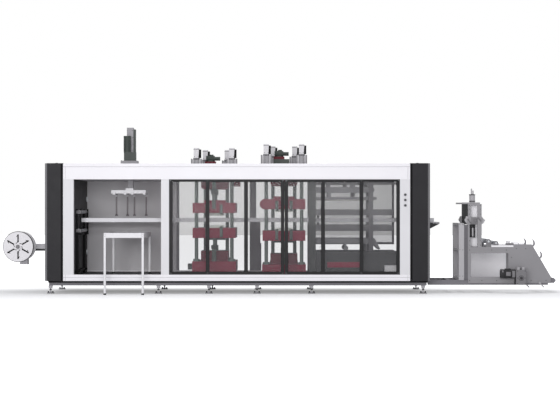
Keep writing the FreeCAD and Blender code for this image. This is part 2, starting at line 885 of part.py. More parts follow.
def make_presses():
    places = ((press_1_x, press_1_base_height, press_1_pedestal, press_1_lower_gap, press_1_upper_gap,
               press_1_crown_height, press_1_lower_sleeve, press_1_upper_sleeve),
              (press_2_x, press_2_base_height, press_2_pedestal, press_2_lower_gap, press_2_upper_gap,
               press_2_crown_height, press_2_lower_sleeve, press_2_upper_sleeve))
    made = []
    for centre, base_height, pedestal, lower_gap, upper_gap, crown_height, lower_sleeve, upper_sleeve in places:
        base_top = floor_top + base_height
        pedestal_top = base_top + pedestal
        crown_foot = fascia_foot - crown_height
        made.append(press(centre, base_top, pedestal_top, chain_foot - lower_gap - platen_height,
                          chain_top + upper_gap, crown_foot, pedestal_top + lower_sleeve,
                          crown_foot - upper_sleeve))
    first, second = made
    save("press_bases", [first[0], second[0]])
    save("press_columns", first[2] + second[2] + [first[1], second[1]])
    save("press_pedestals", [first[3], second[3]])
    bracket_left = press_1_x + side_bracket_gap
    bracket = block(bracket_left, bracket_left + side_bracket_width, press_near + side_bracket_depth,
                    press_near + 2 * side_bracket_depth, fascia_foot - side_bracket_height, fascia_foot)
    save("press_crowns", [first[4], second[4], bracket])
    save("press_1_lower_platen", [first[5]])
    save("press_1_upper_platen", [first[6]])
    save("press_2_lower_platen", [second[5]])
    side_x = press_2_x - platen_half
    foot_z = chain_top + press_2_upper_gap
    lug = profile_along_y([(side_x - lug_side, foot_z + lug_side), (side_x, foot_z),
                           (side_x, foot_z + platen_height),
                           (side_x - lug_side, foot_z + platen_height - lug_side)],
                          press_middle - lug_half_y, press_middle + lug_half_y)
    save("press_2_upper_platen", [joined([second[6], lug])])
    heads = [column_head(x, y, press_1_nut) for x, y in first[7]]
    heads += [column_head(x, y, press_2_nut) for x, y in second[7]]
    save("column_heads", heads)
    beam_1, drive_1 = roof_drive(press_1_x, press_1_beam_foot)
    beam_2, drive_2 = roof_drive(press_2_x, press_2_beam_foot)
    save("drive_beams", [beam_1, beam_2])
    pump_right = press_1_x - base_half
    pump = block(pump_right - pump_width, pump_right, press_near + head_cheek,
                 press_near + head_cheek + pump_depth, pump_foot, pump_foot + pump_height)
    save("drive_motors", drive_1 + drive_2 + [pump] + picker_drive())


# Oven: side frames carry the upper and lower heaters above and below the chain rails
heater_near = front + heater_edge
heater_far = rear - heater_edge
hood_right = oven_left + 0.7201 * oven_length
beam_near = front + post_depth_near + (post_depth - beam_depth) / 2
beam_far = rear - post_depth_near - (post_depth + beam_depth) / 2


def make_oven():
    post_x = oven_left + 0.6471 * oven_length
    cabinet_top_z = floor_top + cabinet_height
    side_frames = []
    for y in (beam_near, beam_far):
        pieces = [block(oven_left, oven_left + 0.9342 * oven_length, y, y + beam_depth, z0, z0 + side_beam_height)
                  for z0 in (lower_beam_foot, upper_beam_foot)]
        pieces.append(block(oven_left, right_inner, y, y + beam_depth, top_beam_foot,
                            top_beam_foot + top_beam_height))
        pieces.append(block(post_x, post_x + oven_post_width, y, y + beam_depth, cabinet_top_z, fascia_foot))
        side_frames.append(joined(pieces))
    save("oven_side_frames", side_frames)

    left = oven_left + heater_gap
    hood = block(left, hood_right, heater_near, heater_far, hood_foot, hood_foot + hood_height)
    ends = [edge for edge in hood.Edges if abs(edge.BoundBox.XMin - hood_right) < 0.1
            and abs(edge.BoundBox.XMax - hood_right) < 0.1 and edge.BoundBox.ZMax - edge.BoundBox.ZMin < 0.1]
    hood = hood.makeFillet(hood_radius, ends)
    hood_top = hood_foot + hood_height
    pieces = [hood, block(left, hood_right + tray_overhang, heater_near, heater_far, tray_foot,
                          tray_foot + tray_height)]
    beam_top = top_beam_foot + top_beam_height
    for share in (0.1627, 0.4617):
        x = oven_left + share * oven_length
        for y0, y1 in ((beam_near + beam_depth, heater_near), (heater_far, beam_far)):
            pieces.append(block(x - hanger_half, x + hanger_half, y0, y1, hood_top - 2 * hanger_half, beam_top))
        for y in (heater_near + spacer_inset, heater_far - spacer_inset):
            pieces.append(upright(x, y, tray_foot + tray_height, hood_foot, spacer_d))
    for share in (0.369, 0.63):
        x = oven_left + share * oven_length
        for y in (heater_near + spacer_inset, heater_far - spacer_inset):
            pieces.append(upright(x, y, hood_top, fascia_foot, actuator_d))
    knob_x = oven_left + 0.4563 * oven_length
    pieces.append(across(knob_x, hood_foot - knob_d / 2 + knob_lap, heater_near - knob_length,
                         heater_near + spacer_inset, knob_d))
    clamp_x = oven_left + 0.1663 * oven_length
    pieces.append(block(clamp_x - clamp_half, clamp_x + clamp_half, heater_near - knob_length,
                        heater_near + spacer_inset, tray_foot + tray_height, hood_foot))
    save("oven_upper_heater", [joined(pieces)])

    arm_x = oven_left + 0.7727 * oven_length
    tip_x = oven_left + 0.7907 * oven_length
    heater_top = lower_heater_foot + lower_heater_height
    lower = profile_along_y([(left, lower_heater_foot), (oven_left + 0.701 * oven_length, lower_heater_foot),
                             (arm_x, arm_foot), (tip_x, arm_tip_z), (hood_right, heater_top),
                             (left, heater_top)], heater_near, heater_far)
    pieces = [lower]
    for x in (left + heater_leg_inset, hood_right - heater_leg_inset):
        for y in (heater_near + spacer_inset, heater_far - spacer_inset):
            pieces.append(upright(x, y, cabinet_top_z, lower_heater_foot, heater_leg_d))
    drum_x = oven_left + 0.3678 * oven_length
    drum_z = cabinet_top_z + drum_d / 2 + drum_rise
    pieces.append(across(drum_x, drum_z, heater_near - knob_length, heater_far, drum_d))
    pieces.append(block(drum_x - drum_rise, drum_x + drum_rise, heater_near, heater_far, drum_z,
                        lower_heater_foot))
    save("oven_lower_heater", [joined(pieces)])

    cabinet_near = front + cabinet_front
    save("oven_cabinet", [block(left, window_right - cabinet_end, cabinet_near, rear - cabinet_front, floor_top,
                                cabinet_top_z)])
    save("air_manifold", [block(oven_left + 0.1358 * oven_length, oven_left + 0.5455 * oven_length,
                                cabinet_near - manifold_depth, cabinet_near, manifold_foot,
                                manifold_foot + manifold_height)])
    junction_left = oven_left + 0.8248 * oven_length
    save("junction_box", [block(junction_left, junction_left + junction_width, cabinet_near - junction_depth,
                                cabinet_near, junction_foot, junction_foot + junction_height)])


# Picker: a square ram slides in a tower on the roof and carries a bar with four suction rods
picker_y = front + picker_depth
tower_half = ram_side / 2 + ram_clearance + tower_wall
plinth_top = deck_top + tower_plinth


def make_picker():
    inner = ram_side / 2 + ram_clearance
    y = picker_y
    tower = block(picker_x - tower_half, picker_x + tower_half, y - tower_half, y + tower_half, deck_top,
                  tower_top)
    plinth = block(picker_x - tower_plinth_left, picker_x + tower_plinth_right, y - tower_plinth_half_y,
                   y + tower_plinth_half_y, deck_top, plinth_top)
    tower = tower.cut(block(picker_x - inner, picker_x + inner, y - inner, y + inner,
                            deck_top - 1, tower_top - tower_wall))
    guide = ram_side / 2 + ram_guide_gap
    plinth = plinth.cut(block(picker_x - guide, picker_x + guide, y - guide, y + guide,
                              deck_top - 1, plinth_top + 1))
    save("picker_tower", [joined([tower, plinth])])

    half = ram_side / 2
    bar_top = picker_foot + picker_bar_height
    ram = block(picker_x - half, picker_x + half, y - half, y + half, bar_top, picker_ram_top)
    flange = block(picker_x - picker_flange_left, picker_x + picker_flange_right, y - picker_flange_half_y,
                   y + picker_flange_half_y, bar_top, bar_top + picker_flange_height)
    bar = block(picker_x - picker_bar_left, picker_x + picker_bar_right, y - picker_bar_near,
                y + picker_bar_far, picker_foot, bar_top)
    pieces = [ram, flange, bar]
    rod_y = y + rod_reach
    for x in (picker_x - outer_rod_left, picker_x - inner_rod_left, picker_x + inner_rod_right,
              picker_x + outer_rod_right):
        pieces.append(block(x - cross_arm_half, x + cross_arm_half, y - picker_flange_half_y,
                            rod_y + pad_d / 2, picker_foot - cross_arm_foot, picker_foot + cross_arm_head))
        pieces.append(upright(x, rod_y, rod_foot, picker_foot - cross_arm_foot, pick_rod_d))
        pieces.append(upright(x, rod_y, rod_foot - pad_height, rod_foot, pad_d))
    save("picker_ram", [joined(pieces)])


def picker_drive():
    far = picker_y - tower_half
    near = far - drive_depth
    box_top = plinth_top + drive_foot_height
    box = block(picker_x - drive_left, picker_x + drive_right, near, far, plinth_top, box_top)
    body = upright(picker_x - drive_body_x, (near + far) / 2, box_top, box_top + drive_body_height, drive_body_d)
    side = block(picker_x + tower_half, picker_x + tower_half + side_plate, far, picker_y + tower_half,
                 plinth_top, tower_top - side_plate_drop)
    return [joined([box, body]), side]


# Receiving table, exit stand and the waste reel on its arm
def make_left_end():
    near = front - table_reach
    far = front + table_depth_far
    left = table_x - table_half
    right = table_x + table_half
    under = table_top - table_beam
    pieces = []
    for x in (left, right - table_leg):
        pieces.append(block(x, x + table_leg, near, near + table_leg, 0, under))
        pieces.append(block(x, x + table_leg, far - table_leg, far, floor_top, under))
        pieces.append(block(x, x + table_leg, near, far, under, table_top))
    for y in (near, far - table_leg):
        pieces.append(block(left, right, y, y + table_leg, under, table_top))
    tray_top = table_top - tray_drop
    pieces.append(block(left + table_leg, right - table_leg, near + table_leg, far - table_leg,
                        tray_top - tray_plate, tray_top))
    save("receiving_table", [joined(pieces)])
    make_exit_stand()
    make_reel()


def make_exit_stand():
    left = bay_left
    right = bay_left + stand_post
    near = front + stand_near
    far = front + stand_far
    pieces = []
    for y in (near, far - stand_post):
        pieces.append(block(left, right, y, y + stand_post, floor_top, stand_top))
        pieces.append(block(left, right + stand_arm, y, y + stand_post, stand_low_bar - stand_bar, stand_low_bar))
    for z in (stand_top - stand_bar, stand_low_bar - stand_bar):
        pieces.append(block(left, right, near, far, z, z + stand_bar))
    strips = []
    for y in (near, far - stand_strip_depth):
        for x in (left, left + stand_strip + stand_strip_gap):
            strips.append(block(x, x + stand_strip, y, y + stand_strip_depth, stand_top - stand_bar,
                                stand_strip_top))
        pieces.append(block(left, left + 2 * stand_strip + stand_strip_gap, y, y + stand_strip_depth,
                            stand_top - stand_bar, stand_top))
    save("exit_stand", [joined(pieces + strips)])
    roller_x = left + stand_strip + stand_strip_gap / 2
    save("exit_rollers", [across(roller_x, exit_roller_z + row * exit_roller_pitch, near + stand_strip_depth,
                                 far - stand_strip_depth, exit_roller_d) for row in range(2)])


def make_reel():
    reel_near = front + reel_depth
    arm_near = reel_near + reel_width + disc_thickness + arm_side_gap
    arm_far = arm_near + arm_depth
    arm_half = arm_height / 2
    arm = block(reel_x, body_left, arm_near, arm_far, reel_z - arm_half + arm_edge, reel_z + arm_half - arm_edge)
    boss = across(reel_x, reel_z, arm_near, arm_far, arm_height)
    drive = block(reel_x - reel_drive_left, reel_x + reel_drive_right, arm_far, arm_far + reel_drive_depth,
                  reel_z - reel_drive_foot, reel_z + reel_drive_head)
    arm = joined([arm, boss])
    arm = arm.cut(across(reel_x, reel_z, arm_near - 1, arm_far + 1, shaft_d + 2 * shaft_gap))
    save("winder_arm", [arm, drive])

    face = reel_near + disc_thickness
    disc_1 = across(reel_x, reel_z, reel_near, face, reel_d)
    rim = across(reel_x, reel_z, face, face + rim_thickness, reel_rear_d)
    disc_2 = across(reel_x, reel_z, reel_near + reel_width, reel_near + reel_width + disc_thickness, reel_d)
    slots = []
    for index in range(6):
        slot = block(reel_x - reel_slot_half, reel_x + reel_slot_half, reel_near - 1, face,
                     reel_z + reel_slot_inner, reel_z + reel_slot_outer)
        slot.rotate(FreeCAD.Vector(reel_x, 0, reel_z), FreeCAD.Vector(0, 1, 0), 60 * index)
        slots.append(slot)
    disc_1 = disc_1.cut(Part.makeCompound(slots))
    hub = across(reel_x, reel_z, reel_near - reel_hub, reel_near, reel_hub_d)
    core = across(reel_x, reel_z, reel_near, reel_near + reel_width, reel_core_d)
    shaft = across(reel_x, reel_z, reel_near, arm_far - shaft_short, shaft_d)
    save("waste_reel", [joined([disc_1, rim, disc_2, hub, core, shaft])])


# Infeed table and the film unwinder
unwinder_near = front + plate_depth_near
unwinder_far = unwinder_near + unwinder_width
inner_near = unwinder_near + plate_thickness
inner_far = unwinder_far - plate_thickness


def make_unwinder():
    reach = body_right + infeed_reach
    shelf = profile_along_y([(body_right, infeed_foot), (body_right + infeed_flat, infeed_foot),
                             (reach, infeed_mid), (reach, chain_foot), (body_right, chain_foot)],
                            chain_near_y - infeed_margin, chain_far_y + chain_width + infeed_margin)
    save("infeed_table", [shelf])
    make_side_plates()
    make_portal()
    make_mast()
    make_film_rollers()
    make_unwinder_drive()


def hook(x, z, lean):
    points = [(0, 0), (34, -8), (64, 22), (72, 62), (62, 104), (34, 140), (6, 150), (28, 108), (36, 66), (22, 34),
              (-12, 26)]
    return [(x + across_x + lean * up, z + up) for across_x, up in points]


def make_side_plates():
    shelf_end = plate_left + rail_strip_right
    outline = [(plate_left, plate_foot), (plate_right - plate_toe, plate_foot), (plate_right, plate_toe_z),
               (plate_left + plate_slope, plate_slope_z), (plate_left + plate_shoulder, plate_top),
               (shelf_end, plate_top), (shelf_end, plate_shelf), (plate_left, plate_shelf)]
    window_left_x = plate_left + window_inset
    window_right_x = plate_left + window_end
    plates = []
    for y in (unwinder_near, inner_far):
        plate = profile_along_y(outline, y, y + plate_thickness)
        window = block(window_left_x, window_right_x, y - 1, y + plate_thickness + 1, window_foot, window_head)
        corners = [edge for edge in window.Edges if edge.BoundBox.YMax - edge.BoundBox.YMin > plate_thickness]
        plate = plate.cut(window.makeFillet(window_radius, corners))
        pieces = [plate]
        for share, lean in ((0.0, 0.0), (0.38, 0.05)):
            x = plate_left + plate_slope + share * (plate_right - plate_left - plate_slope)
            z = plate_slope_z + share * (plate_toe_z - plate_slope_z)
            pieces.append(profile_along_y(hook(x - plate_thickness, z - plate_thickness, lean), y,
                                          y + plate_thickness))
        plates.append(joined(pieces))
    save("unwinder_plates", plates)
    strips = []
    for y in (unwinder_near, inner_far):
        strips.append(block(plate_left + rail_strip_left, shelf_end, y, y + plate_thickness, plate_shelf,
                            plate_shelf + rail_strip_height))
        for left, width, height in ((block_1_left, block_1_width, block_1_height),
                                    (block_2_left, block_2_width, block_2_height)):
            strips.append(block(plate_left + left, plate_left + left + width, y, y + plate_thickness,
                                plate_top, plate_top + height))
    strips.append(block(window_left_x - sheet_lap, window_right_x + sheet_lap, inner_far - sheet_thickness,
                        inner_far, window_foot - sheet_lap, window_head + sheet_lap))
    save("unwinder_covers", strips)


def make_portal():
    posts = []
    far_frame = unwinder_far - portal_depth
    for y in (unwinder_near, far_frame):
        posts.append(block(portal_left, portal_left + portal_width, y, y + portal_depth, base_rail_top, portal_top))
    for z0, height in ((portal_top - portal_bar, portal_bar), (portal_mid_foot, portal_mid),
                       (base_rail_top, portal_low)):
        posts.append(block(portal_left, portal_left + portal_width, unwinder_near + portal_depth, far_frame,
                           z0, z0 + height))
    for y in (unwinder_near, unwinder_far - web_depth):
        posts.append(block(portal_left + portal_width, plate_left, y, y + web_depth, web_foot, web_top))
    save("unwinder_portal", [joined(posts)])


def make_mast():
    right = plate_left + mast_width
    window_x = plate_left + mast_window_inset
    pieces = []
    for y in (unwinder_near, unwinder_far - portal_depth):
        far = y + portal_depth
        plate = block(plate_left, right, y, far, plate_shelf, mast_top - mast_cap)
        for z0, z1 in ((plate_shelf - 1, mast_lower_head), (mast_upper_foot, mast_upper_head)):
            hole = block(window_x, window_x + mast_window_width, y - 1, far + 1, z0, z1)
            plate = plate.cut(hole)
        pieces.append(plate)
        pieces.append(block(plate_left - mast_cap_left, right - mast_cap_right, y, far, mast_top - mast_cap,
                            mast_top))
        left_wing = [(plate_left, wing_foot), (plate_left - wing_reach / 2, wing_low),
                     (plate_left - wing_reach, wing_mid), (plate_left - wing_reach / 2, wing_head),
                     (plate_left, wing_head)]
        right_wing = [(right, wing_foot), (right + wing_reach / 2, wing_low), (right + wing_reach, wing_mid),
                      (right + wing_reach / 2, wing_high), (right, wing_head)]
        for wing in (left_wing, right_wing):
            pieces.append(profile_along_y(wing, y, y + wing_thickness))
    inner = unwinder_near + portal_depth
    outer = unwinder_far - portal_depth
    pieces.append(block(plate_left, plate_left + mast_wall, inner, outer, mast_lower_head, mast_top - mast_cap))
    x = plate_left + jack_x
    y = unwinder_near + portal_depth / 2
    top = mast_top + lift_motor_height
    pieces.append(upright(x, y, mast_top, top, lift_motor_d))
    pieces.append(upright(x - lift_rod_x, y, top, top + lift_rod_height, lift_rod_d))
    pieces.append(upright(x + second_rod_x, y, top, top + second_rod_height, lift_rod_d))
    pieces.append(upright(x, y, clamp_cylinder_foot, mast_lower_head, clamp_cylinder_d))
    save("unwinder_mast", [joined(pieces)])


def make_film_rollers():
    bearings = []
    for number, x_inset, z, diameter, seat in ((1, roller_1_x, roller_1_z, roller_1_d, plate_shelf),
                                               (2, roller_2_x, roller_2_z, roller_2_d,
                                                plate_shelf + rail_strip_height)):
        x = plate_left + x_inset
        roller = across(x, z, inner_near + roller_end_gap, inner_far - roller_end_gap, diameter)
        ends = across(x, z, unwinder_near, unwinder_far, journal_d)
        save("film_roller_%d" % number, [joined([roller, ends])])
        for y in (unwinder_near, inner_far):
            bearing = profile_along_y([(x - bearing_half, seat), (x + bearing_half, seat),
                                       (x + bearing_half, z), (x + bearing_half / 2, z + bearing_over),
                                       (x - bearing_half / 2, z + bearing_over), (x - bearing_half, z)],
                                      y, y + plate_thickness)
            bearings.append(bearing.cut(across(x, z, y - 1, y + plate_thickness + 1,
                                               journal_d + 2 * roller_gap)))
    save("roller_bearings", bearings)


def make_unwinder_drive():
    x = plate_left + motor_left
    y = unwinder_near - motor_depth
    pieces = [along(x, y, motor_z, motor_length, motor_d), along(x, y, motor_z, motor_flange, motor_flange_d)]
    box_left = x + motor_length
    box_right = box_left + gearbox_width
    box_near = unwinder_near - gearbox_depth
    box_top = gearbox_foot + gearbox_height
    pieces.append(block(box_left, box_right, box_near, unwinder_near, gearbox_foot, box_top))
    for left in (box_left + gear_lug_gap, box_right - gear_lug_gap - gear_lug):
        pieces.append(block(left, left + gear_lug, box_near + gear_lug_gap, unwinder_near - gear_lug_gap,
                            box_top, box_top + gear_lug_height))
    save("unwinder_drive", [joined(pieces)])


os.makedirs("parts", exist_ok=True)
make_base()
make_housing()
make_doors()
make_chain_rails()
make_presses()
make_oven()
make_picker()
make_left_end()
make_unwinder()
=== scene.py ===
import math
import bmesh
import bpy
from mathutils import Matrix, Vector


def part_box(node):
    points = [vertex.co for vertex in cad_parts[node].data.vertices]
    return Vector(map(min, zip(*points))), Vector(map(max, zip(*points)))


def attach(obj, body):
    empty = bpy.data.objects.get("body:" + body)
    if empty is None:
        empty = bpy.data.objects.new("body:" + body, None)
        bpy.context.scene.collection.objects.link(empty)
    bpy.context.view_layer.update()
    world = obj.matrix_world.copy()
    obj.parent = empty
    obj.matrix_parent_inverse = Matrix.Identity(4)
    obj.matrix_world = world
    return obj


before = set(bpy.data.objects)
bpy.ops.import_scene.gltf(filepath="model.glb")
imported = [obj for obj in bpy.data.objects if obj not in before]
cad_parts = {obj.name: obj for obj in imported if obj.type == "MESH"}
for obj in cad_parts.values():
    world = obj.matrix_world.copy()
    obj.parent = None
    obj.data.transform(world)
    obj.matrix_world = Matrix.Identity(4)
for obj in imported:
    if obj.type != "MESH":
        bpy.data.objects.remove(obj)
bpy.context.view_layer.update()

# Camera: square on to the machine's front, a little above the film line, with a long lens so that
# the depth of the bays shows as it does through the open take-off bay.
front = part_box("top_fascias")[0][1]
camera_distance = 26.0
camera_height = 1.683
picture_width = 560
pixels_per_metre = 50.0
sensor_width = 36.0
lens = sensor_width * pixels_per_metre * camera_distance / picture_width
camera_data = bpy.data.cameras.new("camera")
camera_data.sensor_width = sensor_width
camera_data.lens = lens
camera_data.clip_end = 200.0
camera = bpy.data.objects.new("camera", camera_data)
camera.location = (0.0, front - camera_distance, camera_height)
camera.rotation_euler = (math.radians(90), 0.0, 0.0)
bpy.context.scene.collection.objects.link(camera)
bpy.context.scene.camera = camera
bpy.context.scene.view_settings.view_transform = "Standard"


# Studio: a wide pale floor, a white surround, and two large soft lamps, one in front and one above.
# The camera sees floor and surround as near white. The soft shadow under the machine is partly cast
# by the lamps and partly painted: the floor's glow dips under the machine and rises behind it, which
# paints light over the shadow that the front lamp casts there.
world = bpy.data.worlds.new("studio")
world.use_nodes = True
bpy.context.scene.world = world
world_nodes = world.node_tree.nodes
world_links = world.node_tree.links
world_nodes.clear()
room_light = world_nodes.new("ShaderNodeBackground")
room_light.inputs["Color"].default_value = (0.96, 0.97, 1.0, 1.0)
room_light.inputs["Strength"].default_value = 0.6
white_surround = world_nodes.new("ShaderNodeBackground")
white_surround.inputs["Color"].default_value = (1.0, 1.0, 1.0, 1.0)
white_surround.inputs["Strength"].default_value = 1.0
world_mix = world_nodes.new("ShaderNodeMixShader")
world_out = world_nodes.new("ShaderNodeOutputWorld")
world_paths = world_nodes.new("ShaderNodeLightPath")
world_links.new(world_paths.outputs["Is Camera Ray"], world_mix.inputs[0])
world_links.new(room_light.outputs[0], world_mix.inputs[1])
world_links.new(white_surround.outputs[0], world_mix.inputs[2])
world_links.new(world_mix.outputs[0], world_out.inputs["Surface"])

floor_size = 120.0
floor_bm = bmesh.new()
bmesh.ops.create_grid(floor_bm, x_segments=1, y_segments=1, size=floor_size / 2)
floor_mesh = bpy.data.meshes.new("floor")
floor_bm.to_mesh(floor_mesh)
floor_bm.free()
floor = bpy.data.objects.new("floor", floor_mesh)
floor.location = (0.0, 0.0, -0.001)
bpy.context.scene.collection.objects.link(floor)
floor_paint = bpy.data.materials.new("studio_floor")
floor_paint.use_nodes = True
floor_nodes = floor_paint.node_tree.nodes
floor_links = floor_paint.node_tree.links
floor_nodes.clear()
floor_diffuse = floor_nodes.new("ShaderNodeBsdfDiffuse")
floor_diffuse.inputs["Color"].default_value = (0.80, 0.80, 0.81, 1.0)
floor_glow = floor_nodes.new("ShaderNodeEmission")
floor_place = floor_nodes.new("ShaderNodeTexCoord")
floor_split = floor_nodes.new("ShaderNodeSeparateXYZ")
fade_front = -12.0
fade_depth = 15.0
floor_reach = floor_nodes.new("ShaderNodeMapRange")
floor_reach.inputs["From Min"].default_value = fade_front
floor_reach.inputs["From Max"].default_value = fade_front + fade_depth
# Painted shade and light: the glow is lowest under and just in front of the machine, to paint the shadow
# band, and highest behind it, to paint out the cast shadow there.
floor_painted_shade_ramp = floor_nodes.new("ShaderNodeValToRGB")
painted_shade_stops = ((fade_front, 0.6), (-4.0, 0.42), (-2.2, 0.34), (-1.1, 0.24), (0.2, 0.24), (2.6, 1.0))
while len(floor_painted_shade_ramp.color_ramp.elements) < len(painted_shade_stops):
    floor_painted_shade_ramp.color_ramp.elements.new(0.5)
for stop, (y, glow) in zip(floor_painted_shade_ramp.color_ramp.elements, painted_shade_stops):
    stop.position = (y - fade_front) / fade_depth
    stop.color = (glow, glow, glow, 1.0)
floor_links.new(floor_place.outputs["Object"], floor_split.inputs[0])
floor_links.new(floor_split.outputs["Y"], floor_reach.inputs["Value"])
floor_links.new(floor_reach.outputs["Result"], floor_painted_shade_ramp.inputs["Fac"])
floor_links.new(floor_painted_shade_ramp.outputs["Color"], floor_glow.inputs["Strength"])
floor_sum = floor_nodes.new("ShaderNodeAddShader")
floor_mix = floor_nodes.new("ShaderNodeMixShader")
floor_out = floor_nodes.new("ShaderNodeOutputMaterial")
floor_links.new(floor_diffuse.outputs[0], floor_sum.inputs[0])
floor_links.new(floor_glow.outputs[0], floor_sum.inputs[1])
floor_paths = floor_nodes.new("ShaderNodeLightPath")
floor_links.new(floor_paths.outputs["Is Camera Ray"], floor_mix.inputs[0])
floor_links.new(floor_diffuse.outputs[0], floor_mix.inputs[1])
floor_links.new(floor_sum.outputs[0], floor_mix.inputs[2])
floor_links.new(floor_mix.outputs[0], floor_out.inputs["Surface"])
floor_mesh.materials.append(floor_paint)


def soft_lamp(name, place, aim, width, depth, power):
    data = bpy.data.lights.new(name, "AREA")
    data.shape = "RECTANGLE"
    data.size = width
    data.size_y = depth
    data.energy = power
    lamp = bpy.data.objects.new(name, data)
    lamp.location = place
    lamp.rotation_euler = (Vector(aim) - Vector(place)).to_track_quat("-Z", "Y").to_euler()
    bpy.context.scene.collection.objects.link(lamp)


soft_lamp("front_lamp", (-3.0, -18.0, 3.6), (0.0, 0.0, 1.3), 14.0, 5.0, 1350.0)
soft_lamp("top_lamp", (1.0, -1.0, 12.0), (0.0, 0.0, 1.0), 12.0, 8.0, 450.0)


# Base: two long box rails with crossbars in grey paint, with a black strip under the housing as painted
# shade of its overhang.
# The rails stand on levelling feet, each a round plate on a rubber pad, a stem with lock nuts and a bracket.
def tone(red, green, blue):
    linear = [(value / 255 / 12.92) if value < 11 else ((value / 255 + 0.055) / 1.055) ** 2.4
              for value in (red, green, blue)]
    return (*linear, 1.0)


def speckled(nodes, links, colour, spread, scale):
    place = nodes.new("ShaderNodeTexCoord")
    noise = nodes.new("ShaderNodeTexNoise")
    noise.inputs["Scale"].default_value = scale
    noise.inputs["Detail"].default_value = 4.0
    ramp = nodes.new("ShaderNodeValToRGB")
    ramp.color_ramp.elements[0].position = 0.3
    ramp.color_ramp.elements[1].position = 0.7
    ramp.color_ramp.elements[0].color = [value * (1 - spread) for value in colour[:3]] + [1.0]
    ramp.color_ramp.elements[1].color = [min(1.0, value * (1 + spread)) for value in colour[:3]] + [1.0]
    links.new(place.outputs["Object"], noise.inputs["Vector"])
    links.new(noise.outputs["Fac"], ramp.inputs["Fac"])
    return place, ramp


def rough_spread(nodes, links, place, scale, low, high):
    noise = nodes.new("ShaderNodeTexNoise")
    noise.inputs["Scale"].default_value = scale
    noise.inputs["Detail"].default_value = 3.0
    spread = nodes.new("ShaderNodeMapRange")
    spread.inputs["To Min"].default_value = low
    spread.inputs["To Max"].default_value = high
    links.new(place.outputs["Object"], noise.inputs["Vector"])
    links.new(noise.outputs["Fac"], spread.inputs["Value"])
    return spread


def coat(name, colour, roughness=0.42, spread=0.03, peel=0.12, shine=0.3):
    material = bpy.data.materials.new(name)
    material.use_nodes = True
    nodes = material.node_tree.nodes
    links = material.node_tree.links
    shader = nodes["Principled BSDF"]
    place, ramp = speckled(nodes, links, colour, spread, 1.7)
    links.new(ramp.outputs["Color"], shader.inputs["Base Color"])
    rough = rough_spread(nodes, links, place, 6.0, roughness - 0.06, roughness + 0.08)
    links.new(rough.outputs["Result"], shader.inputs["Roughness"])
    grain = nodes.new("ShaderNodeTexNoise")
    grain.inputs["Scale"].default_value = 420.0
    bump = nodes.new("ShaderNodeBump")
    bump.inputs["Strength"].default_value = peel
    bump.inputs["Distance"].default_value = 0.0006
    links.new(place.outputs["Object"], grain.inputs["Vector"])
    links.new(grain.outputs["Fac"], bump.inputs["Height"])
    links.new(bump.outputs["Normal"], shader.inputs["Normal"])
    shader.inputs["Specular IOR Level"].default_value = shine
    return material


def dress(node, material):
    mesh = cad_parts[node].data
    mesh.materials.clear()
    mesh.materials.append(material)


def solids(node):
    merged = bmesh.new()
    merged.from_mesh(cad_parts[node].data)
    bmesh.ops.remove_doubles(merged, verts=merged.verts[:], dist=0.00002)
    left = set(merged.verts)
    boxes = []
    while left:
        wave = [left.pop()]
        found = list(wave)
        while wave:
            near = [edge.other_vert(vert) for vert in wave for edge in vert.link_edges]
            wave = [vert for vert in set(near) if vert in left]
            left.difference_update(wave)
            found += wave
        low = tuple(min(vert.co[axis] for vert in found) for axis in range(3))
        high = tuple(max(vert.co[axis] for vert in found) for axis in range(3))
        boxes.append((low, high))
    merged.free()
    return sorted(boxes)


def add_block(bm, low, high, edge=0.002):
    low = Vector(low)
    high = Vector(high)
    size = high - low
    place = Matrix.Translation((low + high) / 2) @ Matrix.Diagonal((*size, 1.0))
    made = bmesh.ops.create_cube(bm, size=1.0, matrix=place)
    if edge:
        edges = list({one for vert in made["verts"] for one in vert.link_edges})
        bmesh.ops.bevel(bm, geom=edges, offset=min(edge, min(size) * 0.3), offset_type="OFFSET", segments=2,
                        profile=0.5, affect="EDGES", material=-1)


def add_rod(bm, start, end, radius, sides=20, tip=None, edge=0.0):
    start = Vector(start)
    end = Vector(end)
    way = end - start
    place = Matrix.Translation((start + end) / 2) @ way.to_track_quat("Z", "Y").to_matrix().to_4x4()
    made = bmesh.ops.create_cone(bm, cap_ends=True, segments=sides, radius1=radius,
                                 radius2=radius if tip is None else tip, depth=way.length, matrix=place)
    if edge:
        rims = {one for vert in made["verts"] for one in vert.link_edges
                if any(len(face.verts) > 4 for face in one.link_faces)}
        bmesh.ops.bevel(bm, geom=list(rims), offset=edge, offset_type="OFFSET", segments=2, profile=0.5,
                        affect="EDGES", material=-1)


def add_bolt(bm, place, way, size):
    place = Vector(place)
    way = Vector(way).normalized()
    add_rod(bm, place - way * 0.0005, place + way * size * 0.16, size * 1.05, 16)
    add_rod(bm, place + way * size * 0.14, place + way * size * 0.8, size * 0.85, 6, size * 0.8)


def soften(*nodes, width=0.002):
    for node in nodes:
        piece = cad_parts[node]
        weld = piece.modifiers.new("weld", "WELD")
        weld.merge_threshold = 0.00002
        bevel = piece.modifiers.new("edges", "BEVEL")
        bevel.width = width
        bevel.segments = 2
        bevel.limit_method = "ANGLE"
        bevel.angle_limit = math.radians(50)


def finish_piece(name, bm, material, body="machine"):
    for edge in bm.edges:
        edge.smooth = edge.calc_face_angle(0.0) < math.radians(38)
    for face in bm.faces:
        face.smooth = True
    mesh = bpy.data.meshes.new(name)
    bm.to_mesh(mesh)
    bm.free()
    mesh.materials.append(material)
    piece = bpy.data.objects.new(name, mesh)
    bpy.context.scene.collection.objects.link(piece)
    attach(piece, body)
    return piece


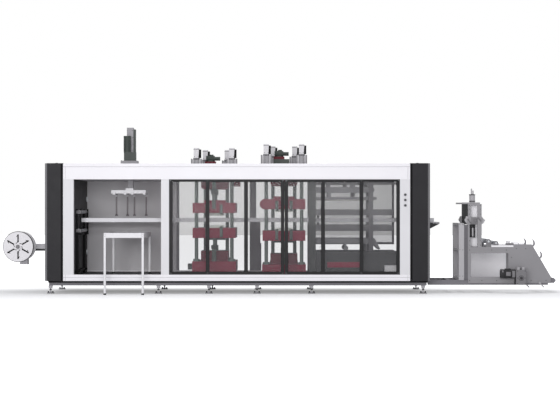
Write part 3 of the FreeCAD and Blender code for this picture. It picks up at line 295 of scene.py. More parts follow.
rail_coat = coat("rail_coat", tone(124, 122, 127), 0.5)
# Black for the rubber parts, and also for the painted shade strips on the base rails.
rubber_and_shade_black = coat("black_rubber_and_painted_shade", tone(30, 30, 31), 0.72, 0.08, 0.3)
dress("base_rails", rail_coat)
foot_grey = coat("foot_grey", tone(176, 174, 178), 0.4)
dress("levelling_feet", foot_grey)
soften("base_rails", "levelling_feet")
nuts = bmesh.new()
pads = bmesh.new()
pad_height = 0.012
for low, high in solids("levelling_feet"):
    x = (low[0] + high[0]) / 2
    y = (low[1] + high[1]) / 2
    for side in (-0.045, 0.045):
        add_rod(nuts, (x + side, y, pad_height), (x + side, y, pad_height + 0.032), 0.014, 12)
    add_rod(nuts, (x, y, 0.072), (x, y, 0.09), 0.026, 6)
    add_rod(nuts, (x, y, 0.104), (x, y, 0.116), 0.024, 6)
    add_rod(pads, (x, y, 0.0), (x, y, pad_height), 0.078, 36, 0.07)
    for side in (-1, 1):
        add_bolt(nuts, (x + side * 0.026, y, high[2] - 0.02), (0, -1, 0), 0.009)
finish_piece("foot_lock_nuts", nuts, rubber_and_shade_black)
finish_piece("foot_pads", pads, rubber_and_shade_black)
base_low, base_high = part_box("base_rails")
# Painted shade: a black strip along the top of each rail, front and back, under the housing's overhang.
shade_strip_inset = 0.028
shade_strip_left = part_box("left_end_cabinet")[0].x + shade_strip_inset
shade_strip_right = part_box("right_end_cabinet")[1].x - shade_strip_inset
shade_strip = bmesh.new()
for y0, y1 in ((base_low.y - 0.003, base_low.y), (base_high.y, base_high.y + 0.003)):
    add_block(shade_strip, (shade_strip_left, y0, base_high.z - 0.043), (shade_strip_right, y1, base_high.z - 0.004), 0.001)
finish_piece("base_shade_strips", shade_strip, rubber_and_shade_black)


# End cabinets: folded sheet housings in satin black powder coat that close both ends of the line.
# A black strip along each joint with the white frame is painted shade, a lighter grey on the outer
# fold is a painted highlight, and capped eye bolts sit on the top.
def paint(node, material, inside):
    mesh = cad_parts[node].data
    mesh.materials.append(material)
    for face in mesh.polygons:
        if inside(face.center):
            face.material_index = len(mesh.materials) - 1


black_coat = coat("black_coat", tone(38, 37, 40), 0.46, 0.05, shine=0.2)
deep_black = coat("deep_black", tone(16, 15, 17), 0.5, 0.06, shine=0.1)
# Painted highlight: a light grey for the outer fold of the black cabinets.
fold_highlight_coat = coat("fold_highlight_coat", tone(104, 103, 106), 0.42)
fold_width = 0.036
fold_gap = 0.003
fold_face = 0.044
trim_width = 0.045
cap_inset = 0.25
for node, outer in (("left_end_cabinet", -1), ("right_end_cabinet", 1)):
    low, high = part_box(node)
    dress(node, black_coat)
    edge = high.x if outer > 0 else low.x
    # Painted highlight: the fold faces take the light grey.
    paint(node, fold_highlight_coat, lambda at, edge=edge, y=low.y: abs(at.x - edge) < fold_width * 0.99
          and at.y < y + fold_width * 0.99 and abs(at.x - edge) > 0.001 and at.y > y + 0.001)
soften("left_end_cabinet", "right_end_cabinet", width=0.003)
joint_shade_strips = bmesh.new()
caps = bmesh.new()
fold_highlight_strips = bmesh.new()
cabinet_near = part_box("left_end_cabinet")[0].y
frame_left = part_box("top_fascias")[0].x
frame_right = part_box("top_fascias")[1].x
for inner, outer in ((frame_left, -1), (frame_right, 1)):
    low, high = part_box("left_end_cabinet" if outer < 0 else "right_end_cabinet")
    far = inner + outer * trim_width
    # Painted shade: a black strip along the joint with the white frame.
    add_block(joint_shade_strips, (min(inner, far), cabinet_near - 0.0015, low.z + 0.012),
              (max(inner, far), cabinet_near + 0.004, high.z - 0.004), 0.001)
    x = inner + outer * 0.17
    for y in (low.y + cap_inset, high.y - cap_inset):
        add_rod(caps, (x, y, high.z - 0.002), (x, y, high.z + 0.006), 0.05, 32, edge=0.002)
        add_rod(caps, (x, y, high.z + 0.005), (x, y, high.z + 0.014), 0.03, 32, 0.024)
    edge = high.x if outer > 0 else low.x
    # Painted highlight: a light grey strip along the fold on the front and back faces.
    for y0, y1 in ((low.y - 0.0012, low.y + 0.001), (high.y - 0.001, high.y + 0.0012)):
        strip = sorted((edge - outer * fold_face, edge - outer * fold_gap))
        add_block(fold_highlight_strips, (strip[0], y0, low.z + fold_gap), (strip[1], y1, high.z - fold_gap), 0.0)
finish_piece("cabinet_joint_shade_strips", joint_shade_strips, deep_black)
finish_piece("cabinet_fold_highlights", fold_highlight_strips, fold_highlight_coat)
finish_piece("cabinet_eye_caps", caps, deep_black)


# White frame: deep fascias over the bays, bottom rails, and stiles between them, folded from sheet
# and powder coated white; the outer stiles take a darker copy of the white as painted shade. Flush
# screws hold the sheets, and rings on the roof lift the machine.
def bright_metal(name, colour, roughness, stretch=(1.0, 1.0, 1.0), lines=90.0, spread=0.06, metallic=1.0):
    material = bpy.data.materials.new(name)
    material.use_nodes = True
    nodes = material.node_tree.nodes
    links = material.node_tree.links
    shader = nodes["Principled BSDF"]
    shader.inputs["Metallic"].default_value = metallic
    place = nodes.new("ShaderNodeTexCoord")
    mapping = nodes.new("ShaderNodeMapping")
    mapping.inputs["Scale"].default_value = stretch
    brush = nodes.new("ShaderNodeTexNoise")
    brush.inputs["Scale"].default_value = lines
    brush.inputs["Detail"].default_value = 5.0
    ramp = nodes.new("ShaderNodeValToRGB")
    ramp.color_ramp.elements[0].color = [value * (1 - spread) for value in colour[:3]] + [1.0]
    ramp.color_ramp.elements[1].color = [min(1.0, value * (1 + spread)) for value in colour[:3]] + [1.0]
    rough = nodes.new("ShaderNodeMapRange")
    rough.inputs["To Min"].default_value = roughness - 0.06
    rough.inputs["To Max"].default_value = roughness + 0.1
    bump = nodes.new("ShaderNodeBump")
    bump.inputs["Strength"].default_value = 0.08
    bump.inputs["Distance"].default_value = 0.0004
    links.new(place.outputs["Object"], mapping.inputs["Vector"])
    links.new(mapping.outputs["Vector"], brush.inputs["Vector"])
    links.new(brush.outputs["Fac"], ramp.inputs["Fac"])
    links.new(brush.outputs["Fac"], rough.inputs["Value"])
    links.new(brush.outputs["Fac"], bump.inputs["Height"])
    links.new(ramp.outputs["Color"], shader.inputs["Base Color"])
    links.new(rough.outputs["Result"], shader.inputs["Roughness"])
    links.new(bump.outputs["Normal"], shader.inputs["Normal"])
    return material


def add_flush_screw(bm, place, way, size):
    place = Vector(place)
    way = Vector(way).normalized()
    add_rod(bm, place - way * 0.001, place + way * 0.0012, size, 16, size * 0.8)


zinc = bright_metal("zinc_plate", tone(196, 198, 202), 0.34, lines=60.0)
fascia_coat = coat("fascia_coat", tone(236, 234, 238), 0.42, 0.01, 0.06, shine=0.2)
# Painted shade: a darker copy of the white coat for the outer stiles and their screws.
shaded_stile_coat = coat("shaded_stile_coat", tone(219, 218, 221), 0.42, 0.012, 0.06, shine=0.2)
deck_coat = coat("deck_coat", tone(190, 190, 193), 0.5, 0.03)
dress("top_fascias", fascia_coat)
dress("bottom_rails", fascia_coat)
dress("front_stiles", shaded_stile_coat)
outer_bay = 1.2
# The middle stiles keep the fascia's coat; only the outer ones carry the painted shade.
paint("front_stiles", fascia_coat, lambda at: abs(at.x) < outer_bay)
dress("roof_deck", deck_coat)
dress("lifting_eyes", zinc)
dress("floor_deck", coat("floor_coat", tone(70, 70, 73), 0.55, 0.05))
soften("top_fascias", "bottom_rails", "front_stiles", "lifting_eyes")
soften("floor_deck", width=0.003)
nut_grey = coat("nut_grey", tone(124, 122, 125), 0.42, 0.05)
screws = bmesh.new()
fascia_low, fascia_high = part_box("top_fascias")
rail_low, rail_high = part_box("bottom_rails")
screw_pitch = (fascia_high.x - fascia_low.x - 0.08) / 12
for number in range(13):
    x = fascia_low.x + 0.04 + number * screw_pitch
    for y, way in ((fascia_low.y, -1), (fascia_high.y, 1)):
        for z in (fascia_low.z + 0.03, fascia_high.z - 0.03, rail_low.z + 0.02, rail_high.z - 0.02):
            add_flush_screw(screws, (x, y, z), (0, way, 0), 0.006)
for low, high in solids("front_stiles"):
    for z in (0.45, 0.9, 1.35, 1.8, 2.24):
        for x in (low[0] + 0.02, high[0] - 0.02):
            add_flush_screw(screws, (x, low[1], z), (0, -1, 0), 0.006)
finish_piece("frame_screws", screws, shaded_stile_coat)
seams = bmesh.new()
seam = 0.004
seam_proud = 0.0008
top_seam = fascia_high.z - 0.064
rail_seam = rail_high.z - 0.056
for y0, y1 in ((fascia_low.y - seam_proud, fascia_low.y), (fascia_high.y, fascia_high.y + seam_proud)):
    for z in (top_seam, rail_seam):
        add_block(seams, (fascia_low.x + seam, y0, z), (fascia_high.x - seam, y1, z + seam), 0.0)
    for x in (fascia_low.x + trim_width, fascia_high.x - trim_width):
        for z0, z1 in ((rail_low.z + 0.006, rail_high.z - 0.002), (fascia_low.z + 0.002, top_seam)):
            add_block(seams, (x - seam / 2, y0, z0), (x + seam / 2, y1, z1), 0.0)
finish_piece("frame_seams", seams, nut_grey)
eye_bolts = bmesh.new()
for low, high in solids("lifting_eyes"):
    x = (low[0] + high[0]) / 2
    y = (low[1] + high[1]) / 2
    for side in (-1, 1):
        add_bolt(eye_bolts, (x, y + side * 0.024, low[2] + 0.008), (0, 0, 1), 0.006)
finish_piece("eye_plate_bolts", eye_bolts, zinc)


# Doors: black aluminium frames with tinted safety glass in rubber gaskets. The two middle leaves slide
# apart on a double track in front of the outer fixed panels. The tint takes no light from what is behind.
def add_gasket(bm, low, high, width, depth):
    left, right = low[0] + width, high[0] - width
    foot, top = low[2] + width, high[2] - width
    for x0, x1, z0, z1 in ((low[0], left, low[2], high[2]), (right, high[0], low[2], high[2]),
                           (left, right, low[2], foot), (left, right, top, high[2])):
        add_block(bm, (x0, low[1] - depth, z0), (x1, high[1] + depth, z1), 0.0015)


def tinted_glass(name, colour, share):
    material = bpy.data.materials.new(name)
    material.use_nodes = True
    nodes = material.node_tree.nodes
    links = material.node_tree.links
    shader = nodes["Principled BSDF"]
    place, ramp = speckled(nodes, links, colour, 0.012, 0.8)
    links.new(ramp.outputs["Color"], shader.inputs["Base Color"])
    rough = rough_spread(nodes, links, place, 3.0, 0.04, 0.09)
    links.new(rough.outputs["Result"], shader.inputs["Roughness"])
    shader.inputs["IOR"].default_value = 1.5
    shader.inputs["Alpha"].default_value = share
    paths = nodes.new("ShaderNodeLightPath")
    clear = nodes.new("ShaderNodeMapRange")
    clear.inputs["To Min"].default_value = share
    clear.inputs["To Max"].default_value = 0.0
    links.new(paths.outputs["Is Shadow Ray"], clear.inputs["Value"])
    links.new(clear.outputs["Result"], shader.inputs["Alpha"])
    shader.inputs["Specular IOR Level"].default_value = 0.2
    return material


door_glass = tinted_glass("tinted_safety_glass", tone(100, 99, 102), 0.293)
door_coat = coat("door_coat", tone(30, 29, 31), 0.42, 0.05, shine=0.2)
door_bodies = {"fixed_panel": "machine", "left_door": "left_door", "right_door": "right_door"}
dress("door_tracks", coat("track_coat", tone(36, 35, 38), 0.45))
for leaf, body in door_bodies.items():
    dress(leaf + ("_frames" if body == "machine" else "_frame"), door_coat)
    dress(leaf + "_glass", door_glass)
    gasket = bmesh.new()
    keys = bmesh.new()
    for low, high in solids(leaf + "_glass"):
        add_gasket(gasket, low, high, 0.007, 0.005)
    for low, high in solids(leaf + ("_frames" if body == "machine" else "_frame")):
        for x in (low[0] + 0.031, high[0] - 0.031):
            for z in (low[2] + 0.024, high[2] - 0.018):
                add_flush_screw(keys, (x, low[1], z), (0, -1, 0), 0.005)
    finish_piece(leaf + "_gaskets", gasket, rubber_and_shade_black, body)
    finish_piece(leaf + "_corner_screws", keys, zinc, body)
soften("fixed_panel_frames", "left_door_frame", "right_door_frame", "door_tracks", width=0.001)


# Push buttons: three buttons in plated collars on the right white stile. Each cap is dark plastic
# that stands a little out of its collar.
def add_ring(bm, place, way, radius, thickness, sides):
    turn = Vector(way).to_track_quat("Z", "Y").to_matrix().to_4x4()
    section_place = Matrix.Translation(place) @ turn @ Matrix.Translation((radius, 0.0, 0.0))
    section = bmesh.ops.create_circle(bm, segments=8, radius=thickness / 2,
                                      matrix=section_place @ Matrix.Rotation(math.radians(90), 4, "X"))
    edges = {edge for vert in section["verts"] for edge in vert.link_edges}
    before = set(bm.faces)
    bmesh.ops.spin(bm, geom=section["verts"] + list(edges), cent=place, axis=way, dvec=(0.0, 0.0, 0.0),
                   angle=math.tau, steps=sides, use_merge=True, use_duplicate=False)
    bmesh.ops.recalc_face_normals(bm, faces=[face for face in bm.faces if face not in before])


button_plastic = coat("button_plastic", tone(74, 73, 76), 0.4, 0.03)
dress("push_buttons", button_plastic)
soften("push_buttons", width=0.002)
collars = bmesh.new()
for low, high in solids("push_buttons"):
    x = (low[0] + high[0]) / 2
    z = (low[2] + high[2]) / 2
    add_ring(collars, (x, high[1] - 0.0115, z), (0, -1, 0), 0.0205, 0.0035, 40)
    add_ring(collars, (x, high[1] - 0.001, z), (0, -1, 0), 0.0265, 0.002, 40)
finish_piece("button_collars", collars, zinc)


# Rear wall: a plain grey sheet behind the take-off bay, and a painted frame with one window behind
# the oven. Screws hold the sheet, and the window sits in a rubber gasket.
panel_coat = coat("rear_panel_coat", tone(202, 200, 203), 0.5)
rear_coat = coat("rear_frame_coat", tone(112, 110, 115), 0.5)
dress("rear_panel", panel_coat)
dress("rear_frame", rear_coat)
dress("rear_glass", door_glass)
soften("rear_frame", "rear_panel", width=0.002)
rear_gasket = bmesh.new()
for low, high in solids("rear_glass"):
    add_gasket(rear_gasket, low, high, 0.01, 0.008)
finish_piece("rear_window_gasket", rear_gasket, rubber_and_shade_black)
panel_screws = bmesh.new()
low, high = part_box("rear_panel")
for number in range(7):
    x = low.x + 0.05 + number * (high.x - low.x - 0.1) / 6
    for z in (low.z + 0.025, high.z - 0.025):
        for y, way in ((low.y, -1), (high.y, 1)):
            add_bolt(panel_screws, (x, y, z), (0, way, 0), 0.006)
hinge_x = low.x + 0.014
hinge_y = high.y - 0.125
hinge_half = 0.054
for z in (0.781, 1.909):
    for knuckle in range(3):
        foot = z - hinge_half + knuckle * 0.037
        add_rod(panel_screws, (hinge_x, hinge_y, foot), (hinge_x, hinge_y, foot + 0.034), 0.012, 20,
                edge=0.0015)
    add_block(panel_screws, (low.x, hinge_y - 0.03, z - hinge_half),
              (low.x + 0.006, hinge_y + 0.03, z + hinge_half))
finish_piece("rear_wall_fittings", panel_screws, zinc)


# Film line: extruded aluminium rails carry the two film chains, whose links run in a slot on the
# inner side. Dark posts with arms hold the rails at the oven's mouth.
profile_grey = bright_metal("anodised_profile", tone(196, 195, 199), 0.42, (1.0, 8.0, 8.0), 30.0, 0.03, 0.25)
chain_steel = bright_metal("chain_steel", tone(92, 92, 94), 0.4, lines=120.0)
post_coat = coat("post_coat", tone(62, 66, 62), 0.5)
dress("chain_rails", profile_grey)
dress("partition_posts", post_coat)
soften("chain_rails", "partition_posts", width=0.002)
links = bmesh.new()
rail_bolts = bmesh.new()
slot_drop = 0.027
link_pitch = 0.0305
for number, (low, high) in enumerate(solids("chain_rails")):
    middle_y = high[1] - 0.007 if number == 0 else low[1] + 0.007
    z = high[2] - slot_drop
    for step in range(int((high[0] - low[0] - 0.04) / link_pitch)):
        x = low[0] + 0.02 + step * link_pitch
        add_rod(links, (x, middle_y, z - 0.005), (x, middle_y, z + 0.005), 0.0042, 8)
        for side in (-1, 1):
            plate_z = z + side * (0.0046 if step % 2 else 0.0058)
            add_block(links, (x - 0.004, middle_y - 0.005, plate_z - 0.0006),
                      (x + link_pitch + 0.004, middle_y + 0.005, plate_z + 0.0006), 0.0)
    face_y = low[1] if number == 0 else high[1]
    for step in range(14):
        x = low[0] + 0.12 + step * (high[0] - low[0] - 0.24) / 13
        for z in (low[2] + 0.016, high[2] - 0.014):
            add_bolt(rail_bolts, (x, face_y, z), (0, -1 if number == 0 else 1, 0), 0.006)
finish_piece("film_chains", links, chain_steel)
finish_piece("chain_rail_bolts", rail_bolts, zinc)


# Presses: dark red castings on four grey-green columns. Each base and pedestal is bolted down, and
# the platens carry pale mould plates, balance cylinders and a front rod or jack.
press_red = coat("press_red", tone(158, 22, 62), 0.45, 0.06, shine=0.15)
# Painted shade: a darker copy of the press red for the pedestals and crowns.
shaded_press_red = coat("shaded_press_red", tone(124, 34, 52), 0.48, 0.06, shine=0.15)
column_green = coat("column_green", tone(110, 122, 115), 0.32, 0.04, 0.05)
collar_green = coat("collar_green", tone(62, 70, 65), 0.42, 0.05)
mould_plate = bright_metal("mould_plate", tone(222, 228, 220), 0.36, (1.0, 6.0, 1.0), 60.0, 0.02, 0.3)
beds = solids("press_bases")
press_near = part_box("press_bases")[0].y
centres = [(low[0] + high[0]) / 2 for low, high in beds]
dress("press_bases", press_red)
dress("press_columns", column_green)
# The pedestals and crowns take the darker red as painted shade.
dress("press_pedestals", shaded_press_red)
dress("press_crowns", shaded_press_red)
paint("press_columns", collar_green, lambda at: press_near < at.y < press_near + 0.135
      and min(abs(at.x - centre) for centre in centres) < 0.07 and at.z > 0.83)
pedestals = solids("press_pedestals")
paint("press_pedestals", column_green, lambda at: any(low[0] < at.x < high[0] and at.z > high[2] - 0.1135
                                                      for low, high in pedestals))
crowns = [pair for pair in solids("press_crowns") if pair[1][0] - pair[0][0] > 0.3]
paint("press_crowns", column_green, lambda at: any(low[0] < at.x < high[0] and at.z < low[2] + 0.1175
                                                   for low, high in crowns))
paint("press_crowns", collar_green, lambda at: at.y < press_near + 0.1 and at.z < 2.18)
platen_height = 0.204
for number, centre in enumerate(centres, 1):
    bolts = {"upper": bmesh.new(), "lower": bmesh.new()}
    for half in ("upper", "lower"):
        node = "press_%d_%s_platen" % (number, half)
        low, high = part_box(node)
        foot = low.z + 0.06 if half == "upper" else high.z - 0.05 - platen_height
        top = foot + platen_height
        dress(node, press_red)
        if half == "upper":
            mould_side = lambda at, foot=foot: at.z < foot - 0.0005
            rod_side = lambda at, top=top: at.z > top + 0.058
        else:
            mould_side = lambda at, top=top: at.z > top + 0.0005
            rod_side = lambda at, foot=foot: at.z < foot - 0.0435
            paint(node, collar_green, lambda at, foot=foot: foot - 0.044 < at.z < foot - 0.0005)
        paint(node, mould_plate, lambda at, side=mould_side: side(at) and at.y > press_near + 0.3)
        paint(node, column_green, lambda at, side=rod_side: side(at) or at.y < press_near - 0.0005)
        if half == "lower":
            paint(node, column_green, lambda at, foot=foot, x=centre: at.z < foot - 0.0005
                  and at.y < press_near + 0.1)
        for x in (centre - 0.40, centre - 0.30, centre + 0.30, centre + 0.40):
            for z in (foot + 0.03, top - 0.03):
                add_bolt(bolts[half], (x, press_near, z), (0, -1, 0), 0.009)
        for side in (-1, 1):
            x = centre + side * 0.146
            cylinder_foot = foot - 0.033 if half == "upper" else foot + 0.0165
            cylinder_top = top - 0.033 if half == "upper" else top + 0.033
            ring_y = press_near - 0.009
            for z in (cylinder_foot + 0.004, cylinder_top - 0.018):
                add_rod(bolts[half], (x, ring_y, z), (x, ring_y, z + 0.014), 0.036, 28, edge=0.002)
        finish_piece("press_%d_%s_fittings" % (number, half), bolts[half], collar_green,
                     "press_%d_%s" % (number, half))
soften("press_bases", "press_columns", "press_pedestals", "press_crowns", "press_1_lower_platen",
       "press_1_upper_platen", "press_2_lower_platen", "press_2_upper_platen", width=0.0025)
press_bolts = bmesh.new()
for (low, high), centre in zip(beds, centres):
    for x in (-0.38, -0.24, 0.24, 0.38):
        for z in (high[2] - 0.04, low[2] + 0.1):
            add_bolt(press_bolts, (centre + x, press_near, z), (0, -1, 0), 0.011)
for low, high in pedestals:
    for x in (low[0] + 0.04, high[0] - 0.04):
        for z in (low[2] + 0.05, low[2] + 0.16):
            add_bolt(press_bolts, (x, low[1], z), (0, -1, 0), 0.009)
finish_piece("press_bolts", press_bolts, collar_green)


# Roof: eight ribbed column nuts between pale clamps, each under a pale housing whose right side is
# painted black as shade, and for each press a screw drive on a red beam. The drive motors are finned
# castings, bolted to the beams.
head_pale = coat("head_pale", tone(206, 204, 207), 0.42)
motor_coat = coat("motor_coat", tone(62, 68, 64), 0.45, 0.08)
beam_red = coat("beam_red", tone(92, 20, 34), 0.45, 0.06, shine=0.2)
clamp_grey = coat("clamp_grey", tone(186, 184, 187), 0.42)
dress("column_heads", nut_grey)
dress("drive_beams", beam_red)
dress("drive_motors", motor_coat)
heads = solids("column_heads")
head_middles = [((low[0] + high[0]) / 2, low, high) for low, high in heads]
paint("column_heads", head_pale, lambda at: any(
    low[1] < at.y < high[1] and x - 0.0545 < at.x < x + 0.0535 and at.z > high[2] - 0.2025
    for x, low, high in head_middles))
# Painted shade: the right side of each head housing is painted black.
paint("column_heads", deep_black, lambda at: any(
    low[1] < at.y < high[1] and x + 0.0545 < at.x < x + 0.095 and at.z > high[2] - 0.2025
    for x, low, high in head_middles))
soften("column_heads", "drive_beams", "drive_motors", width=0.0015)
head_bolts = bmesh.new()
dark_grey = coat("dark_grey", tone(58, 56, 59), 0.45)
head_bands = bmesh.new()
head_clamps = bmesh.new()
head_height = 0.203
nut_radius = 0.066
for x, low, high in head_middles:
    y = (low[1] + high[1]) / 2
    for side in (-0.104, 0.104):
        for depth in (-0.068, 0.068):
            add_bolt(head_bolts, (x + side, y + depth, low[2] + 0.014), (0, 0, 1), 0.009)
    nut_top = high[2] - head_height
    add_rod(head_bands, (x, y, nut_top - 0.03), (x, y, nut_top - 0.016), 0.07, 40, edge=0.002)
    add_block(head_clamps, (x - 0.091, y - 0.04, low[2] + 0.014), (x + 0.091, y + 0.04, nut_top - 0.02))
    for lean in range(-3, 4):
        spot = math.radians(lean * 24)
        rib = (x + nut_radius * math.sin(spot), y - nut_radius * math.cos(spot))
        add_rod(head_clamps, (*rib, low[2] + 0.03), (*rib, nut_top - 0.036), 0.007, 10)
    add_block(head_bands, (x - 0.0565, y - 0.0565, high[2] - 0.03), (x + 0.0565, y + 0.0565, high[2] - 0.022))
    for side in (-0.035, 0.035):
        add_bolt(head_bolts, (x + side, y - 0.054, nut_top + 0.03), (0, -1, 0), 0.006)
finish_piece("head_bolts", head_bolts, dark_grey)
finish_piece("head_bands", head_bands, dark_grey)
finish_piece("head_clamps", head_clamps, clamp_grey)
drives = [pair for pair in solids("drive_motors") if pair[0][2] > 2.6 and pair[1][0] - pair[0][0] > 0.25
          and pair[0][0] > -2.0]
fins = bmesh.new()
for low, high in [pair for pair in drives if pair[1][2] - pair[0][2] > 0.11]:
    x = low[0]
    y = (low[1] + high[1]) / 2
    z = low[2] + 0.06
    for step in range(11):
        add_rod(fins, (x + 0.012 + step * 0.015, y, z), (x + 0.017 + step * 0.015, y, z), 0.0655, 32)
for low, high in solids("drive_beams"):
    for side in (0.02, 0.204):
        for y in (low[1] + 0.02, high[1] - 0.02):
            add_bolt(fins, (low[0] + side, y, high[2]), (0, 0, 1), 0.008)
finish_piece("drive_motor_fins", fins, motor_coat)


# Oven: sheet-metal heaters above and below the rails, on side frames of flat bar, over a dark
# cabinet. The upper tray holds rows of ceramic heaters that face the film.
sheet_steel = bright_metal("oven_sheet", tone(128, 127, 130), 0.4, (1.0, 6.0, 6.0), 40.0, 0.05, 0.25)
frame_steel = coat("oven_frame_coat", tone(112, 110, 114), 0.42)
cabinet_coat = coat("cabinet_coat", tone(64, 66, 65), 0.5)
tile_white = coat("heater_ceramic", tone(214, 210, 200), 0.5, 0.05)
dark_detail = coat("dark_detail", tone(52, 52, 54), 0.45)
dress("oven_side_frames", frame_steel)
dress("oven_upper_heater", sheet_steel)
dress("oven_lower_heater", sheet_steel)
dress("oven_cabinet", cabinet_coat)
dress("air_manifold", press_red)
dress("junction_box", coat("junction_coat", tone(252, 250, 253), 0.42))
soften("oven_side_frames", "oven_upper_heater", "oven_lower_heater", "oven_cabinet", "air_manifold",
       "junction_box", width=0.002)
hood_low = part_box("oven_upper_heater")[0]
tray_foot = 1.895
heater_near = hood_low.y + 0.03
tile_width = 0.122
tile_depth = 0.06
tile_foot = tray_foot - 0.012
tiles = bmesh.new()
for column in range(8):
    for row in range(9):
        x = hood_low.x + 0.04 + column * 0.147
        y = heater_near + 0.03 + row * 0.08
        add_block(tiles, (x, y, tile_foot), (x + tile_width, y + tile_depth, tray_foot), 0.004)
        for rib_x in (x + 0.03, x + 0.061, x + 0.092):
            add_rod(tiles, (rib_x, y + 0.006, tile_foot), (rib_x, y + tile_depth - 0.006, tile_foot),
                    0.004, 8)
finish_piece("ceramic_heaters", tiles, tile_white)
oven_iron = bmesh.new()
side_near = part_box("oven_side_frames")[0].y
guide_heights = ((1.38, 1.436), (1.518, 1.574))
guide_places = ((1.83, 1.88), (0.752, 0.8))
for z0, z1 in guide_heights:
    for x0, x1 in guide_places:
        add_block(oven_iron, (x0, side_near + 0.01, z0), (x1, side_near + 0.07, z1))
fitting_y = heater_near - 0.03
knob_x, knob_z, knob_radius = 1.491, 2.004, 0.041
for turn in range(6):
    angle = math.radians(60 * turn + 20)
    rim = Vector((knob_x + knob_radius * math.cos(angle), fitting_y - 0.006,
                  knob_z + knob_radius * math.sin(angle)))
    add_rod(oven_iron, rim, rim + Vector((0, 0.014, 0)), 0.011, 16, edge=0.002)
add_rod(oven_iron, (knob_x, fitting_y - 0.008, knob_z), (knob_x, fitting_y + 0.002, knob_z), 0.036, 32,
        edge=0.002)
hanger_heights = (1.968, 2.026)
hanger_places = (0.985, 1.03)
for z in hanger_heights:
    for x in hanger_places:
        add_bolt(oven_iron, (x, fitting_y, z), (0, -1, 0), 0.007)
wheel_places = (0.86, 1.343)
wheel_z = 0.906
for x in wheel_places:
    add_ring(oven_iron, (x, fitting_y, wheel_z), (0, -1, 0), 0.046, 0.006, 36)
handle_x = 1.825
handle_y = heater_near - 0.02
handle_foot = 1.13
handle_shape = ((0.0, 0.0), (0.0, 0.106), (0.035, 0.096), (0.052, 0.066), (0.052, 0.036), (0.035, 0.01),
                (0.0, 0.0))
handle_bends = [(handle_x + out, handle_y, handle_foot + up) for out, up in handle_shape]
for start, end in zip(handle_bends, handle_bends[1:]):
    add_rod(oven_iron, start, end, 0.007, 12)
add_rod(oven_iron, (handle_x, handle_y, handle_foot - 0.03), (handle_x, handle_y, handle_foot + 0.005),
        0.009, 12)
finish_piece("oven_fittings", oven_iron, dark_detail)
cabinet_low, cabinet_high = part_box("oven_cabinet")
seams = bmesh.new()
joint_x = 2.056
add_block(seams, (joint_x, cabinet_low.y - 0.004, cabinet_low.z + 0.04),
          (joint_x + 0.006, cabinet_low.y, cabinet_high.z - 0.01), 0.001)
add_block(seams, (cabinet_low.x + 0.02, cabinet_low.y - 0.003, cabinet_high.z - 0.03),
          (cabinet_high.x - 0.02, cabinet_low.y, cabinet_high.z - 0.024), 0.001)
box_low, box_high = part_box("junction_box")
for x in (box_low.x + 0.014, box_high.x - 0.014):
    for z in (box_low.z + 0.014, box_high.z - 0.014):
        add_flush_screw(seams, (x, box_low.y, z), (0, -1, 0), 0.006)
manifold_low, manifold_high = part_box("air_manifold")
for number in range(8):
    x = manifold_low.x + 0.05 + number * (manifold_high.x - manifold_low.x - 0.1) / 7
    add_bolt(seams, (x, manifold_low.y, manifold_high.z - 0.02), (0, -1, 0), 0.007)
finish_piece("cabinet_trim_lines", seams, frame_steel)


# Picker: a pale square ram in its tower lowers a bar with four suction rods onto the packs. The
# drive box and motor stand beside the tower on the roof.
pale_profile = bright_metal("pale_profile", tone(210, 209, 212), 0.4, (6.0, 6.0, 1.0), 30.0, 0.02, 0.12)
tower_grey = coat("tower_grey", tone(150, 148, 152), 0.42)
rod_brown = coat("rod_brown", tone(128, 122, 126), 0.38, 0.05)
dress("picker_tower", tower_grey)
dress("picker_ram", pale_profile)
cup_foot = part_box("picker_ram")[0].z
bar_foot = 2.023
paint("picker_ram", rod_brown, lambda at: at.z < bar_foot - 0.024)
paint("picker_ram", tower_grey, lambda at: at.z > bar_foot + 0.108)
soften("picker_tower", "picker_ram", width=0.0015)
picker_x = -3.09
rod_y = 0.375
rod_places = (-0.33, -0.1, 0.045, 0.29)
bar_bolts = (-0.36, -0.22, 0.16, 0.29)
cups = bmesh.new()
nuts = bmesh.new()
for shift in rod_places:
    x = picker_x + shift
    for step in range(3):
        z = cup_foot + 0.004 + step * 0.008
        add_rod(cups, (x, rod_y, z), (x, rod_y, z + 0.004), 0.0315, 28, 0.024)
        add_rod(cups, (x, rod_y, z + 0.004), (x, rod_y, z + 0.008), 0.024, 28, 0.0315)
    add_rod(nuts, (x, rod_y, bar_foot - 0.047), (x, rod_y, bar_foot - 0.023), 0.021, 24, 0.034)
    add_rod(nuts, (x, rod_y, bar_foot - 0.062), (x, rod_y, bar_foot - 0.047), 0.024, 6)
    add_bolt(nuts, (x, -0.046, bar_foot - 0.004), (0, -1, 0), 0.009)
for shift in bar_bolts:
    add_bolt(nuts, (picker_x + shift, -0.025, bar_foot + 0.036), (0, -1, 0), 0.008)
finish_piece("suction_cups", cups, dark_grey, "picker")
finish_piece("picker_nuts", nuts, pale_profile, "picker")
tower_low, tower_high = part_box("picker_tower")
tower_plate_top = 2.697
tower_near = -0.022
tower_trim = bmesh.new()
for x in (tower_low.x + 0.02, tower_high.x - 0.02):
    for y in (tower_low.y + 0.02, tower_high.y - 0.02):
        add_bolt(tower_trim, (x, y, tower_plate_top), (0, 0, 1), 0.009)
for row in range(5):
    for x in (picker_x - 0.055, picker_x + 0.055):
        add_bolt(tower_trim, (x, tower_near, 2.76 + row * 0.14), (0, -1, 0), 0.006)
finish_piece("tower_bolts", tower_trim, dark_detail)
picker_drive = [(low, high) for low, high in solids("drive_motors")
                if low[0] < -2.5 and high[1] < tower_near + 0.01]
drive_trim = bmesh.new()
